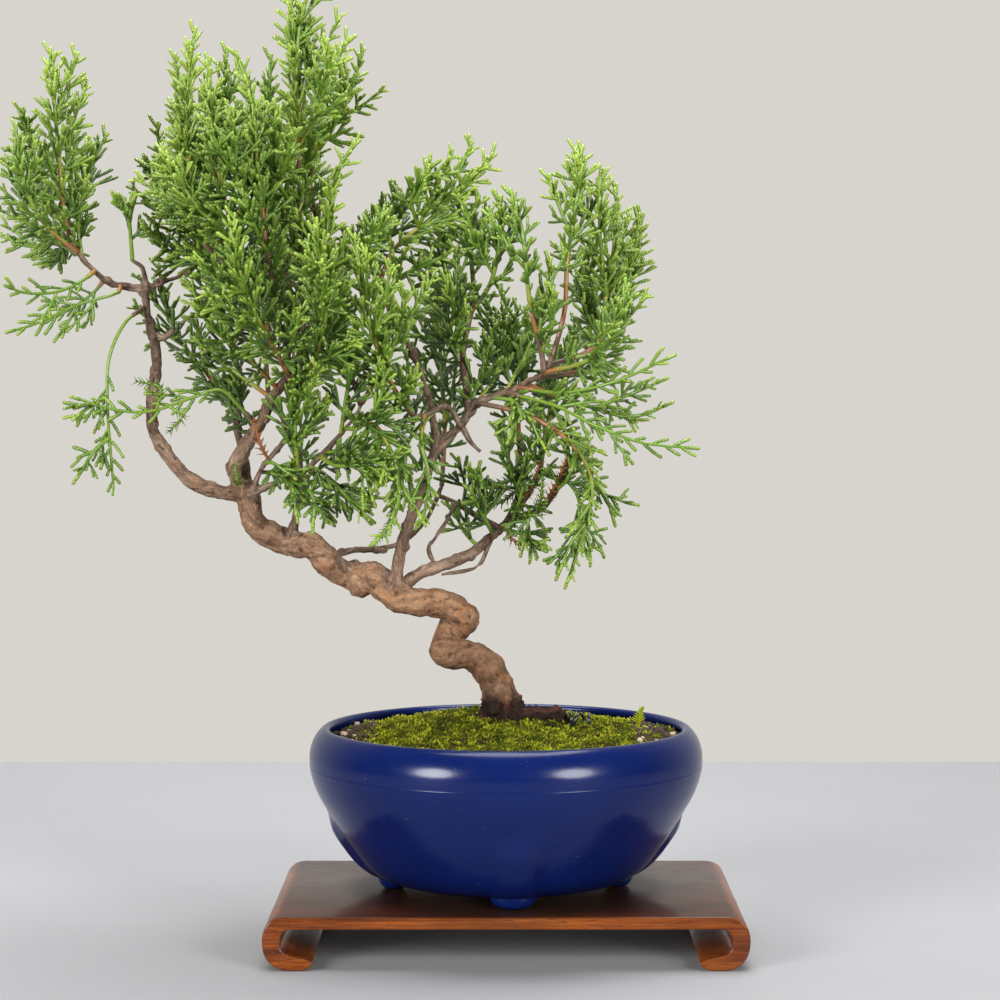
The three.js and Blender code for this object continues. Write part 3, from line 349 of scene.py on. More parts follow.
outer = [(min(radius, POT_WIDEST), height)
         for radius, height in round_profile(POT_OUTER + POT_RIM + POT_INNER, 1.15)]
parting = min(range(len(outer) // 2), key=lambda i: abs(outer[i][1] - POT_PARTING))
radius = outer[parting][0]
outer[parting:parting + 1] = [(radius + out, POT_PARTING + up) for out, up in PARTING_LINE]
feet_around = [POT_TURN - math.pi / 2 + foot * math.tau / POT_FEET for foot in range(POT_FEET)]
pot = bmesh.new()
spun(pot, outer + POT_FLOOR, POT_STEPS)
for vert in pot.verts:
    flat = Vector((vert.co.x - POT_X, vert.co.y))
    for around in feet_around:
        along = flat.dot(Vector((math.cos(around), math.sin(around)))) / MM
        across = flat.dot(Vector((-math.sin(around), math.cos(around)))) / MM
        if along > 30 and vert.normal.dot(vert.co - Vector((POT_X, 0, 0.06))) > 0:
            swell = rib_swell(vert.co.z / MM, across) * MM
            vert.co.x += swell * math.cos(around)
            vert.co.y += swell * math.sin(around)
for around in feet_around:
    tab = bmesh.new()
    spun(tab, round_profile(FOOT_PROFILE, 0.7), 28, closed=False)
    bmesh.ops.holes_fill(tab, edges=tab.edges)
    place = (Matrix.Translation((POT_X, 0, 0)) @ Matrix.Rotation(around, 4, "Z")
             @ Matrix.Translation((FEET_RADIUS * MM, 0, 0)) @ Matrix.Diagonal((0.7, 1, 1, 1))
             @ Matrix.Translation((-POT_X, 0, 0)))
    bmesh.ops.transform(tab, matrix=place, verts=tab.verts)
    joined(pot, "pot_foot", tab)

plastic = Finish("blue_plastic", Coat_Weight=0.04, Coat_Roughness=0.04, Specular_IOR_Level=0.2)
pot_place = plastic.place()
clouded = plastic.cloud(pot_place, 24, 4)
dust = plastic.held(plastic.cloud(pot_place, 0.45, 1), 0.76, 0.81)
drag = plastic.held(plastic.cloud(plastic.place((0.12, 0.12, 1)), 0.4, 2), 0.7, 0.78)
rubbed = plastic.held(plastic.cloud(pot_place, 9, 2), 0.56, 0.7)
blue = plastic.blend(clouded, (0.0015, 0.006, 0.052), (0.003, 0.011, 0.08))
blue = plastic.blend(dust * 0.5 + drag * rubbed * 0.5, blue, (0.25, 0.3, 0.45))
pot_piece = fitted("moulded_pot", pot, plastic.finished(
    blue, 0.17 + clouded * 0.08 + drag * 0.2, clouded + dust * 0.4, 0.04), "pot_plastic", "pot")
pot_piece.data.set_sharp_from_angle(angle=math.radians(50))

# Drain net
# A square of dark plastic net over the hole in the pot's floor, under the soil.
net_plastic = Finish("net_plastic", Roughness=0.55)
net_wear = net_plastic.cloud(net_plastic.place(), 1.2)
net_colour = net_plastic.blend(net_wear, (0.012, 0.014, 0.017), (0.03, 0.032, 0.036))
drain_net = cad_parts["drain_net"]
drain_net.data.materials.clear()
drain_net.data.materials.append(net_plastic.finished(net_colour, None, net_wear, 0.1))

# Soil
# Dark granular mix that fills the pot to just under its rim, with crushed pale pumice in it.
# It shows at the left and the right, where the moss ends short of the rim.
SOIL_TOP = 69.3
SOIL_MIDDLE = 70
SOIL_EDGE = 61
SOIL_WALL = [(38, 26.3), (46.8, 31.2), (53.3, 39.4), (60.5, 51.1), (62.7, 61.8), (61.2, 68.6)]
SOIL_GRAINS = 620
SOIL_GRAIN_SIZE = (0.5, 1.0)
PUMICE_BITS = 14
PUMICE_SIZE = (0.8, 1.7)


def draws(seed):
    """Repeatable random numbers from 0 to 1."""
    state = seed
    while True:
        state = (state * 1664525 + 1013904223) % 4294967296
        yield state / 4294967296


def lump(x, y, z, size):
    """Smooth lumps of a size, from about -1 to 1."""
    return noise.noise(Vector((x, y, z)) / size)


def soil_height(x, y):
    """The soil's height with its grains, level in the middle and lower at the pot's wall."""
    radius = math.hypot(x, y)
    grains = 0.5 * lump(x, y, 3, 1.7) + 0.35 * lump(x, y, 9, 0.9)
    rise = 0.8 * step_up(SOIL_EDGE - radius, 0, 6)
    return SOIL_TOP + rise + (grains if radius < SOIL_EDGE else 0)


def placed(bm, mesh, matrix, tone=None):
    """Adds a moved copy of a small mesh, and sets how bright its colour map makes it."""
    copy = mesh.copy()
    copy.transform(matrix)
    if tone is not None:
        colours = copy.uv_layers[0].data
        values = [0.0] * (2 * len(colours))
        colours.foreach_get("uv", values)
        values[1::2] = [value + tone for value in values[1::2]]
        colours.foreach_set("uv", values)
    bm.from_mesh(copy)
    bpy.data.meshes.remove(copy)


def grain_mesh(seed):
    """An uneven pebble of radius 1."""
    draw = draws(seed)
    bm = bmesh.new()
    bmesh.ops.create_icosphere(bm, subdivisions=1, radius=1)
    for vert in bm.verts:
        vert.co *= 0.72 + 0.5 * next(draw)
    return shaped("grain", bm)


soil = bmesh.new()
soil_rings = [(60.4 - 0.9 * ring, SOIL_TOP) for ring in range(14)]
soil_middle = [(radius, SOIL_MIDDLE) for radius in (36, 18, 0.01)]
spun(soil, [(0.01, SOIL_WALL[0][1]), *SOIL_WALL, *soil_rings, *soil_middle], 180, closed=False)
for vert in soil.verts:
    if vert.co.z > (SOIL_TOP - 0.5) * MM:
        vert.co.z = soil_height((vert.co.x - POT_X) / MM, vert.co.y / MM) * MM
potting = Finish("potting_soil", Roughness=0.95)
crumb = potting.cloud(potting.place(), 1.1, 4)
soil_colour = potting.graded(crumb, (0.3, (0.012, 0.007, 0.004)), (0.55, (0.045, 0.026, 0.015)),
                             (0.75, (0.11, 0.07, 0.042)))
fitted("potting_soil", soil, potting.finished(soil_colour, None, crumb, 0.4), "soil", "soil")

grain_meshes = [grain_mesh(seed) for seed in (3, 5, 8)]


def scattered_grains(seed, count, sizes, at_sides=False):
    """Loose grains lying on the soil, near the rim where the moss leaves it bare."""
    draw = draws(seed)
    bm = bmesh.new()
    for grain in range(count):
        around = math.tau * next(draw)
        if at_sides and abs(math.sin(around)) > 0.75:
            around = math.tau * next(draw)
        radius = 60.6 - 10 * next(draw) ** 1.6
        x = radius * math.cos(around)
        y = radius * math.sin(around)
        size = sizes[0] + (sizes[1] - sizes[0]) * next(draw)
        turn = Matrix.Rotation(math.tau * next(draw), 4, "X")
        turn @= Matrix.Rotation(math.tau * next(draw), 4, "Z")
        spot = Matrix.Translation((POT_X + x * MM, y * MM, (soil_height(x, y) + 0.2 * size) * MM))
        placed(bm, grain_meshes[grain % 3], spot @ turn @ Matrix.Scale(size * MM, 4))
    return bm


fitted("soil_grains", scattered_grains(21, SOIL_GRAINS, SOIL_GRAIN_SIZE), potting.material, "soil")
pumice = Finish("pumice", Roughness=0.9)
pumice_holes = pumice.cloud(pumice.place(), 0.5, 3)
pumice_colour = pumice.blend(pumice_holes, (0.25, 0.16, 0.09), (0.6, 0.5, 0.37))
fitted("pumice_bits", scattered_grains(34, PUMICE_BITS, PUMICE_SIZE, at_sides=True),
       pumice.finished(pumice_colour, None, pumice_holes, 0.3), "soil")

# Moss
# A lumpy cushion of yellow-green moss laid over the soil, highest behind and left of the trunk.
# Its mat is covered with leafy stems a millimetre or two high.
MOSS_RADIUS = 56.5
MOSS_EDGE = 71.2
MOSS_CROWN = 77.0
MOSS_HUMP = (-13, 12)
MOSS_SLAB = [(57.3, 72), (57.3, 69.6), (0.01, 69.6)]
MOSS_TUFTS = 4300
GOLDEN_TURN = 2.399963
LITTER_GRAINS = 640
LITTER_ASIDE = 44
LITTER_BAND = 13
LITTER_DEPTH = 62
LITTER_RADIUS = 56


def moss_edge(around):
    """How far the mat's wavy edge reaches, as a share of its radius."""
    return 1 + 0.035 * math.sin(3 * around + 0.8) + 0.02 * math.sin(7 * around)


def moss_height(x, y):
    """The mat's height, as in the frame, with finer lumps on it."""
    radius = math.hypot(x, y) / moss_edge(math.atan2(y, x))
    rise = max(0, 1 - (radius / MOSS_RADIUS) ** 1.6)
    crown = 2.4 * math.exp(-((x - MOSS_HUMP[0]) ** 2 + (y - MOSS_HUMP[1]) ** 2) / 260)
    lumps = 0.7 * math.sin(x * 0.31 + 1.3) * math.cos(y * 0.27)
    lumps += 0.45 * math.sin(x * 0.57 - y * 0.49)
    fine = 1.5 * lump(x, y, 5, 4.2) + 0.45 * lump(x, y, 11, 1.6) - 0.3
    return MOSS_EDGE + (MOSS_CROWN - MOSS_EDGE) * rise + (crown + lumps) * rise + fine - 0.6


def coloured(bm, age, tone=0):
    """Gives a shape its colour map: across is how old or high each vertex is, up is how bright
    the shape is, with its corners set a little apart."""
    layer = bm.loops.layers.uv.new("OFBake")
    for face in bm.faces:
        for corner, loop in enumerate(face.loops):
            loop[layer].uv = (min(0.99, max(0.01, age(loop.vert))), tone + 0.012 * corner)


def tuft_mesh(seed):
    """A leafy moss stem from above: pointed leaves spreading round a short stalk."""
    draw = draws(seed)
    bm = bmesh.new()
    for leaf in range(7):
        around = leaf * 2.4 + next(draw)
        lean = 0.55 + 0.75 * next(draw)
        length = 0.75 + 0.55 * next(draw)
        turn = Matrix.Rotation(around, 4, "Z") @ Matrix.Rotation(lean, 4, "Y")
        flat = Matrix.Diagonal((0.4, 1, 1, 1)) @ Matrix.Translation((0, 0, length * 0.5))
        bmesh.ops.create_cone(bm, segments=3, radius1=0.52, radius2=0, depth=length,
                              cap_ends=True, matrix=turn @ flat)
    coloured(bm, lambda vert: vert.co.z / 1.3)
    return shaped("tuft", bm)


def leaf_place(finish):
    """The colour map's two values: age across and brightness up."""
    chart = finish.node("UVMap", 0, {"uv_map": "OFBake"})
    split = finish.tree.nodes.new("ShaderNodeSeparateXYZ")
    finish.tree.links.new(chart.socket, split.inputs[0])
    return Shade(finish, split.outputs[0]), Shade(finish, split.outputs[1])


moss = bmesh.new()
moss_rings = [(0.01, 73), *[(1.6 * ring, 73) for ring in range(1, 36)]]
spun(moss, moss_rings + MOSS_SLAB, 150, closed=False)
for vert in moss.verts:
    x = (vert.co.x - POT_X) / MM
    y = vert.co.y / MM
    edge = moss_edge(math.atan2(y, x))
    if vert.co.z > (MOSS_SLAB[0][1] - 0.1) * MM:
        vert.co.z = moss_height(x * edge, y * edge) * MM
    vert.co.x = POT_X + x * edge * MM
    vert.co.y = y * edge * MM
mossy = Finish("moss_mat", Roughness=0.9, Specular_IOR_Level=0.04)
moss_patch = mossy.cloud(mossy.place(), 7, 4)
moss_grit = mossy.cloud(mossy.place(), 0.8, 3)
mat_green = mossy.graded(moss_grit, (0.35, (0.022, 0.026, 0.003)), (0.6, (0.1, 0.12, 0.006)))
mat_colour = mossy.blend(mossy.held(moss_patch + moss_grit * 0.4, 0.66, 0.82), mat_green,
                         (0.03, 0.015, 0.008))
fitted("moss_mat", moss, mossy.finished(mat_colour, None, moss_grit, 0.5), "moss", "moss")

leafy_moss = Finish("moss_leaves", Roughness=0.75, Specular_IOR_Level=0.08)
age, tone = leaf_place(leafy_moss)
moss_young = leafy_moss.graded(tone, (0.1, (0.075, 0.1, 0.004)), (0.5, (0.235, 0.265, 0.006)),
                               (0.9, (0.44, 0.48, 0.02)))
moss_old = leafy_moss.graded(tone, (0.1, (0.016, 0.018, 0.003)), (0.5, (0.05, 0.06, 0.004)),
                             (0.9, (0.13, 0.13, 0.008)))
moss_colour = leafy_moss.blend(leafy_moss.held(age, 0.15, 0.75), moss_old, moss_young)
tufts = [tuft_mesh(seed) for seed in (41, 43, 47, 53)]
draw = draws(77)
moss_leaves = bmesh.new()
for tuft in range(MOSS_TUFTS):
    around = tuft * GOLDEN_TURN
    radius = MOSS_RADIUS * math.sqrt((tuft + 0.5) / MOSS_TUFTS) * moss_edge(around)
    x = radius * math.cos(around) + next(draw) - 0.5
    y = radius * math.sin(around) + next(draw) - 0.5
    thin = lump(x, y, 21, 5) > 0.28 or abs(x) > 50 + 9 * lump(x, y, 41, 7)
    if thin and next(draw) > 0.12:
        continue
    size = 0.95 + 0.5 * next(draw) + 0.6 * lump(x, y, 31, 6)
    spot = Matrix.Translation((POT_X + x * MM, y * MM, (moss_height(x, y) - 0.25) * MM))
    turn = Matrix.Rotation(math.tau * next(draw), 4, "Z")
    turn @= Matrix.Rotation(0.35 * next(draw), 4, "X")
    # Tufts are brighter on the mat's lumps and darker in its hollows, as their brightness follows
    # the lumps of its height: painted shade, with a random tone besides.
    brightness = 0.45 + 0.9 * lump(x, y, 5, 4.2) + 0.5 * lump(x, y, 2, 9) + 0.4 * (next(draw) - 0.5)
    placed(moss_leaves, tufts[tuft % 4], spot @ turn @ Matrix.Scale(size * MM, 4),
           min(0.92, max(0.03, brightness)))
fitted("moss_leaves", moss_leaves, leafy_moss.finished(moss_colour), "moss")

litter = bmesh.new()
pale_litter = bmesh.new()
for grain in range(LITTER_GRAINS):
    x = (LITTER_ASIDE + LITTER_BAND * next(draw)) * (1 if next(draw) > 0.5 else -1)
    y = LITTER_DEPTH * (next(draw) - 0.5)
    if math.hypot(x, y) > LITTER_RADIUS:
        continue
    pale = grain % 60 == 0
    size = (0.8 if pale else 0.45) + 0.6 * next(draw)
    spot = Matrix.Translation((POT_X + x * MM, y * MM, (moss_height(x, y) + 0.15) * MM))
    turn = Matrix.Rotation(math.tau * next(draw), 4, "X")
    turn @= Matrix.Rotation(math.tau * next(draw), 4, "Z")
    placed(pale_litter if pale else litter, grain_meshes[grain % 3],
           spot @ turn @ Matrix.Scale(size * MM, 4))
fitted("moss_edge_grains", litter, potting.material, "soil")
fitted("moss_edge_pumice", pale_litter, pumice.material, "soil")

# Fern
# A young fern no taller than a fingernail, rooted in the moss at the right.
FERN_FOOT = (46.0, 8.0, 71.5)
FERN_HEIGHT = 7.5
FERN_LEAFLETS = 15
fern = bmesh.new()
for leaflet in range(FERN_LEAFLETS):
    share = leaflet / (FERN_LEAFLETS - 1)
    side = 1 if leaflet % 2 else -1
    length = 3.0 * (1 - 0.75 * share)
    height = FERN_HEIGHT * (0.25 + 0.7 * share)
    aside = FERN_FOOT[0] + 1.6 * share ** 2
    place = Matrix.Translation((aside, FERN_FOOT[1], FERN_FOOT[2] + height))
    lean = Matrix.Rotation(side * (1.1 - 0.5 * share), 4, "Y")
    flat = Matrix.Diagonal((1, 0.35, 1, 1)) @ Matrix.Translation((0, 0, length * 0.5))
    bmesh.ops.create_cone(fern, segments=4, radius1=0.62, radius2=0.05, depth=length,
                          cap_ends=True, matrix=place @ lean @ flat)
stalk_middle = (FERN_FOOT[0] + 0.5, FERN_FOOT[1], FERN_FOOT[2] + FERN_HEIGHT / 2)
bmesh.ops.create_cone(fern, segments=5, radius1=0.35, radius2=0.15, depth=FERN_HEIGHT,
                      cap_ends=True, matrix=Matrix.Translation(stalk_middle))
bmesh.ops.transform(fern, verts=fern.verts,
                    matrix=Matrix.Translation((POT_X, 0, 0)) @ Matrix.Scale(MM, 4))
coloured(fern, lambda vert: 0.9, 0.45)
fitted("fern", fern, leafy_moss.material, "moss")

# Trunk
# The bark of the trunk and its limbs: brown, in fine flakes and fibres that run along the wood,
# creased across its bends, nearly black at the foot. Points are as seen from the front, (x, z,
# depth) in millimetres, as in the frame. The trunk's points also have the radius there, and each
# limb has its radius at its start and at its end before its points.
EYE_X = -2
EYE_Z = 195
EYE_DISTANCE = 920
TRUNK = [
    [(1.5, 68, 0, 9.8), (0.8, 75, 0, 8.6), (-1.8, 83, 0, 6.5), (-4.4, 90.4, -1, 5.7),
     (-8, 95.4, -2, 5.9), (-13.4, 98, -4, 5.2), (-18.4, 98.2, -4, 5.5), (-21.5, 99.2, -3, 5.4)],
    [(-20.4, 99.5, -2, 5), (-20, 104.4, 2, 4.8), (-16.2, 109, 4, 5.7), (-14.4, 111, 3, 5.6)],
    [(-14.6, 109.6, 3, 5.6), (-17.6, 113.2, 1.5, 5.7), (-23.6, 115.7, -1, 5.1),
     (-31, 116, -4, 4.8), (-36.4, 117.6, -4, 5.2), (-40.6, 121, -2, 5.3), (-45.8, 124.6, 1, 5.9),
     (-51.2, 125, 3, 5.1), (-55.8, 126, 2, 4.9), (-60.4, 129, -1, 4.6), (-64.2, 133.6, -3, 4.8),
     (-67, 136, -3, 4.8)],
    [(-68.6, 135.6, -1, 4.2), (-72, 135.8, 0, 4.5), (-75.8, 136.6, 2, 4.7), (-81, 139.2, 1, 4.6),
     (-85.2, 142, -1, 4.4), (-87.2, 146, -3, 4.2), (-87.8, 150.2, -3, 4.0),
     (-88.4, 154.2, -3, 3.9)],
    [(2, 76, -2, 5.6), (8, 77, -4, 3.8), (13, 77.2, -4, 3.1), (18.5, 76.9, -4, 2.9)],
    [(-2, 77.5, -1, 5.6), (-8, 74.8, -3, 4.2), (-11, 73, -4, 2.6)],
    [(1, 76, 2, 5.6), (4, 75, 9, 3.8), (7, 73.6, 15, 2.4)],
    [(-51.4, 122, 1, 3.4), (-49.4, 120.6, 1, 3.2)],
    [(-56.6, 129.4, 0, 2.2), (-57.4, 130.6, 0, 1.6)],
    [(-3.4, 80, -4, 4.2), (-3, 84, -3, 3.6)],
]
LIMBS = {
    "left_limb": (3.2, 1.6, [(-88, 153, -3), (-98, 154, -5), (-104.6, 156, -8),
                             (-110, 159.7, -10), (-114, 164, -12), (-118, 170, -13),
                             (-121, 176, -13), (-121, 183, -12), (-120.4, 191, -10),
                             (-119.4, 198, -8), (-120, 205, -8), (-121.6, 211, -9),
                             (-122.8, 218, -10), (-123, 224, -10)]),
    "left_arm": (1.6, 1.1, [(-123, 223.5, -10), (-130, 224, -10), (-136, 226, -11),
                            (-140.5, 229.5, -12), (-144, 233, -13), (-147, 237, -15)]),
    "left_stub": (1.5, 1.0, [(-123, 223, -10), (-124, 230.5, -11), (-127.5, 233, -13)]),
    "right_arm": (1.4, 1.0, [(-123, 223, -10), (-118.3, 225.4, -8), (-113, 227, -5),
                             (-108, 229, -2)]),
    "low_stub": (1.3, 0.9, [(-120.6, 208, -8), (-117, 206.6, -10), (-113.5, 209.5, -12)]),
    "middle_limb": (3.0, 1.3, [(-89, 153, -3), (-93.4, 161.4, -4), (-87.8, 171.6, -6),
                               (-83.4, 178.4, -6), (-80.7, 185.3, -4), (-77.2, 189.8, -2),
                               (-73.8, 194.4, 0), (-70.4, 201, 2), (-68.4, 207.4, 2),
                               (-71, 211, 0), (-76.2, 216.6, -3)]),
    "rear_limb": (2.2, 1.2, [(-88.6, 156, 0), (-90, 168, 5), (-92, 175, 10), (-91.6, 182, 16),
                             (-89.6, 189, 21)]),
    "red_twig": (1.4, 0.9, [(-86.5, 156, -6), (-83, 163, -9), (-77, 170, -12), (-74, 175, -13),
                            (-71.4, 181.5, -14), (-71, 188, -16)]),
    "front_twig": (1.6, 1.0, [(-86, 154, -5), (-79, 157, -9), (-70.7, 160, -13),
                              (-63.6, 166, -16), (-58.4, 171.6, -18), (-51.6, 180, -20),
                              (-49.2, 184.5, -21)]),
    "pale_branch": (1.8, 1.0, [(-72.8, 140, 1), (-71.6, 149, 6), (-70.4, 158, 11),
                               (-71.4, 168, 17), (-77, 180, 23), (-81.3, 188, 27)]),
    "behind_branch": (1.6, 1.1, [(-60, 132, 2), (-52, 134, 8), (-44, 134.4, 14),
                                 (-36, 136.6, 20), (-27, 145, 28), (-22, 156, 34)]),
    "upright_limb": (2.6, 1.2, [(-37, 120, -4), (-37.2, 127.5, -5), (-35.2, 137.4, -6),
                                (-32.6, 144.3, -7), (-30, 151.2, -8), (-27.6, 158, -8),
                                (-25, 166.5, -7), (-20.5, 172, -5), (-15.4, 176.7, -4),
                                (-10.6, 184, -6), (-2, 187.4, -8), (3, 189.3, -9),
                                (8.3, 192, -10), (13.4, 195.2, -11), (16, 200, -12)]),
    "knob": (1.7, 0.9, [(-25, 166.5, -7), (-24.4, 175, -6), (-29.4, 195.5, 0), (-38, 212.5, 4),
                        (-43.7, 224.5, 6)]),
    "knobby_arm": (1.5, 1.0, [(-15.4, 176.8, -4), (-20.8, 183.4, -11), (-27, 180.4, -15),
                              (-32, 180.2, -19)]),
    "upright_twig": (1.3, 0.8, [(-12.6, 181.5, -5), (-13.6, 190, -3), (-14.7, 199, -1),
                                (-13.3, 209, 0), (-10.8, 221, 0)]),
    "fork_left": (1.2, 0.9, [(13.4, 195.2, -11), (12, 203, -13), (10.6, 208, -14)]),
    "right_limb": (2.7, 1.0, [(-36, 121.5, -2), (-30.5, 125.4, 0), (-24, 128, 2),
                              (-12.4, 132.4, 5), (-5.4, 138.4, 8), (-0.3, 142.6, 10),
                              (2.4, 147.8, 12), (4.6, 154.6, 14), (4.8, 166, 17)]),
    "right_fork": (1.3, 0.9, [(1, 144.5, 11), (7.2, 153, 8), (11.7, 160, 4)]),
    "right_twig": (1.3, 0.9, [(1, 144, 11), (11.7, 148, 5), (18.4, 157, -2), (21.6, 165, -8)]),
    "back_twig": (1.1, 0.8, [(-2, 141.4, 9), (-8.8, 145, 15), (-18, 150.6, 20),
                             (-24, 153, 24)]),
    "dead_spur": (0.7, 0.5, [(-24.6, 129, 2), (-26.4, 134.6, 0), (-21, 143, -2),
                             (-17.4, 150, -3)]),
    "low_spur": (0.7, 0.5, [(-5.4, 137.4, 8), (-9.6, 128.6, 5), (-22, 125.6, 1)]),
    "back_spur": (0.8, 0.6, [(-15, 176.4, -4), (-12, 171, -7), (-8.8, 168, -8)]),
}
LIMB_SLIMMER = 0.84
BARK_CELL = 0.56 * MM
FINE_TWIG = 1.35
TRUNK_STEP = 1.2
ROUTE_STEP = 1.5
ROOT_CROWN = 87


def seen(x, z, depth):
    """A point as seen from the front, in the frame."""
    spread = (EYE_DISTANCE + depth) / EYE_DISTANCE
    return Vector((POT_X + (EYE_X + (x - EYE_X) * spread) * MM, depth * MM,
                   (EYE_Z + (z - EYE_Z) * spread) * MM))


def aimed(way):
    """A turn that takes z to a way."""
    return way.to_track_quat("Z", "Y").to_matrix().to_4x4()


def grown(bm, route, radii, sides, pointed=False):
    """Grows a round stem along a route, drawing a ring on from point to point, and gives its
    vertices."""
    way = (route[1] - route[0]).normalized()
    first = Matrix.Translation(route[0]) @ aimed(way)
    ring = bmesh.ops.create_circle(bm, segments=sides, radius=radii[0], cap_ends=True,
                                   matrix=first)["verts"]
    every = list(ring)
    edges = list(dict.fromkeys(edge for vert in ring for edge in vert.link_edges))
    for step in range(1, len(route)):
        here, last = route[step], route[step - 1]
        ahead = route[min(step + 1, len(route) - 1)]
        turned_way = (ahead - last).normalized()
        drawn = bmesh.ops.extrude_edge_only(bm, edges=edges)["geom"]
        ring = [part for part in drawn if isinstance(part, bmesh.types.BMVert)]
        edges = [part for part in drawn
                 if isinstance(part, bmesh.types.BMEdge) and part.is_boundary]
        turn = way.rotation_difference(turned_way).to_matrix().to_4x4()
        move = (Matrix.Translation(here) @ turn @ Matrix.Scale(radii[step] / radii[step - 1], 4)
                @ Matrix.Translation(-last))
        bmesh.ops.transform(bm, matrix=move, verts=ring)
        every += ring
        way = turned_way
    if pointed:
        bmesh.ops.pointmerge(bm, verts=ring, merge_co=route[-1] + way * radii[-1] * 0.6)
    else:
        bmesh.ops.contextual_create(bm, geom=edges)
    return [vert for vert in every if vert.is_valid]


def even_radii(knots, count):
    """Radii for count points, between those given for a few evenly spaced ones."""
    radii = []
    for step in range(count):
        place = step / (count - 1) * (len(knots) - 1)
        low = min(int(place), len(knots) - 2)
        radii.append((knots[low] + (knots[low + 1] - knots[low]) * (place - low)) * MM)
    return radii


limb_routes = {}
wood_line = []


def wooden(bm, name, points, radii, sides, spacing=ROUTE_STEP):
    """Grows a limb, a little knobbly, and notes its route and how thick it is along the way."""
    route = curve_through([seen(*point[:3]) for point in points], spacing * MM)
    limb_routes[name] = route
    widths = even_radii(radii, len(route))
    phase = len(limb_routes) * 1.7
    for step, point in enumerate(route):
        widths[step] *= 1 + 0.09 * math.sin(step * 0.83 + phase) * math.sin(step * 0.31 + phase)
        way = (route[min(step + 1, len(route) - 1)] - route[max(step - 1, 0)]).normalized()
        wood_line.append((point, way, widths[step], step * spacing))
    grown(bm, route, widths, sides)


def rounded_end(bm, point, radius):
    """Closes the end of a limb with a ball."""
    bmesh.ops.create_icosphere(bm, subdivisions=3, radius=radius * MM,
                               matrix=Matrix.Translation(seen(*point)))


thick = bmesh.new()
for number, stretch in enumerate(TRUNK):
    wooden(thick, f"stretch_{number}", stretch, [point[3] for point in stretch], 16, TRUNK_STEP)
    for point in (stretch[0], stretch[-1]):
        rounded_end(thick, point[:3], point[3] * 0.97)
for name, (start, end, points) in LIMBS.items():
    if start >= FINE_TWIG:
        wooden(thick, name, points, [part * LIMB_SLIMMER for part in (
            start * 1.12, start * 0.92, (start + end) / 2, end)], 10)
        rounded_end(thick, points[-1], end * LIMB_SLIMMER)
bark_model = bpy.data.objects.new("bark_form", shaped("bark_form", thick))
bpy.context.scene.collection.objects.link(bark_model)
fused = bark_model.modifiers.new("fused", "REMESH")
fused.mode = "VOXEL"
fused.voxel_size = BARK_CELL
bpy.context.view_layer.update()
fused_form = bpy.data.meshes.new_from_object(
    bark_model.evaluated_get(bpy.context.evaluated_depsgraph_get()))
bpy.data.objects.remove(bark_model)
bark = bmesh.new()
bark.from_mesh(fused_form)
for _ in range(4):
    bmesh.ops.smooth_vert(bark, verts=bark.verts, factor=0.5, use_axis_x=True, use_axis_y=True,
                          use_axis_z=True)


def fibrous(bm):
    """Raises flakes, fibres and creases on the wood, and notes for its finish where the
    grain runs, how high each spot lies and how slim the wood is there."""
    nearest = kdtree.KDTree(len(wood_line))
    for index, (point, *_) in enumerate(wood_line):
        nearest.insert(point, index)
    nearest.balance()
    grain = bm.verts.layers.float_vector.new("grain")
    relief = bm.verts.layers.float.new("relief")
    slim = bm.verts.layers.float.new("slim")
    bm.normal_update()
    moves = []
    for vert in bm.verts:
        _, index, _ = nearest.find(vert.co)
        centre, way, radius, mark = wood_line[index]
        offset = (vert.co - centre) / MM
        axial = offset.dot(way)
        out = offset - way * axial
        along = mark + axial
        twist = Matrix.Rotation(along * 0.035, 3, way)
        spot = twist @ out
        size = min(1, 0.3 + radius / MM / 6.5)
        knot = max(0, noise.noise(vert.co / MM * 0.3 + Vector((3, 9, 4))) - 0.22) * (1.3 - size)
        strand = noise.noise(Vector((spot.x * 0.9, spot.y * 0.9, spot.z * 0.9 + along * 0.1)))
        ridge = 1 - 2 * abs(noise.noise(spot * 1.15 + way * (along * 0.16)))
        flake = noise.noise(spot * 0.55 + way * (along * 0.3) + Vector((7, 3, 1)))
        swell = noise.noise(vert.co / MM * 0.13)
        wrinkle = noise.noise(way * (along * 0.85) + spot * 0.16)
        pebble = noise.noise(spot * 0.62 + way * (along * 0.55))
        height = 0.15 * strand + 0.09 * ridge + 0.3 * flake + 0.13 * wrinkle + 0.16 * pebble
        rough = 1.7 * noise.noise(vert.co / MM * 0.34) + 1.1 * noise.noise(vert.co / MM * 0.85)
        foot = step_up(ROOT_CROWN - vert.co.z / MM, 0, 6) * rough
        moves.append((height * size + 0.5 * swell * size + 2.4 * knot + foot - 0.12) * MM)
        vert[grain] = spot + way * (along * 0.24)
        vert[relief] = height
        vert[slim] = (1 - size) * 1.6
    for vert, move in zip(bm.verts, moves):
        vert.co += vert.normal * move


fibrous(bark)
barked = Finish("bark", Roughness=0.8, Specular_IOR_Level=0.15)
run = barked.node("Attribute", "Vector", {"attribute_name": "grain"})
relief = barked.node("Attribute", "Fac", {"attribute_name": "relief"})
slim = barked.node("Attribute", "Fac", {"attribute_name": "slim"})
height_up = barked.node("SeparateXYZ", 2, None, {0: barked.place()})
fibres = barked.cloud(run, 0.46, 5, 0.66)
patches = barked.cloud(run, 2.6, 4)
spots = barked.cloud(barked.place(), 5.5, 3)
brown = barked.graded(fibres * 0.5 + patches * 0.5, (0.28, (0.035, 0.017, 0.01)),
                      (0.4, (0.145, 0.072, 0.038)), (0.52, (0.265, 0.145, 0.079)),
                      (0.72, (0.45, 0.28, 0.165)))
rusty = barked.held(spots + patches * 0.35, 0.72, 0.86)
brown = barked.blend(rusty * 0.55, brown, (0.36, 0.15, 0.05))
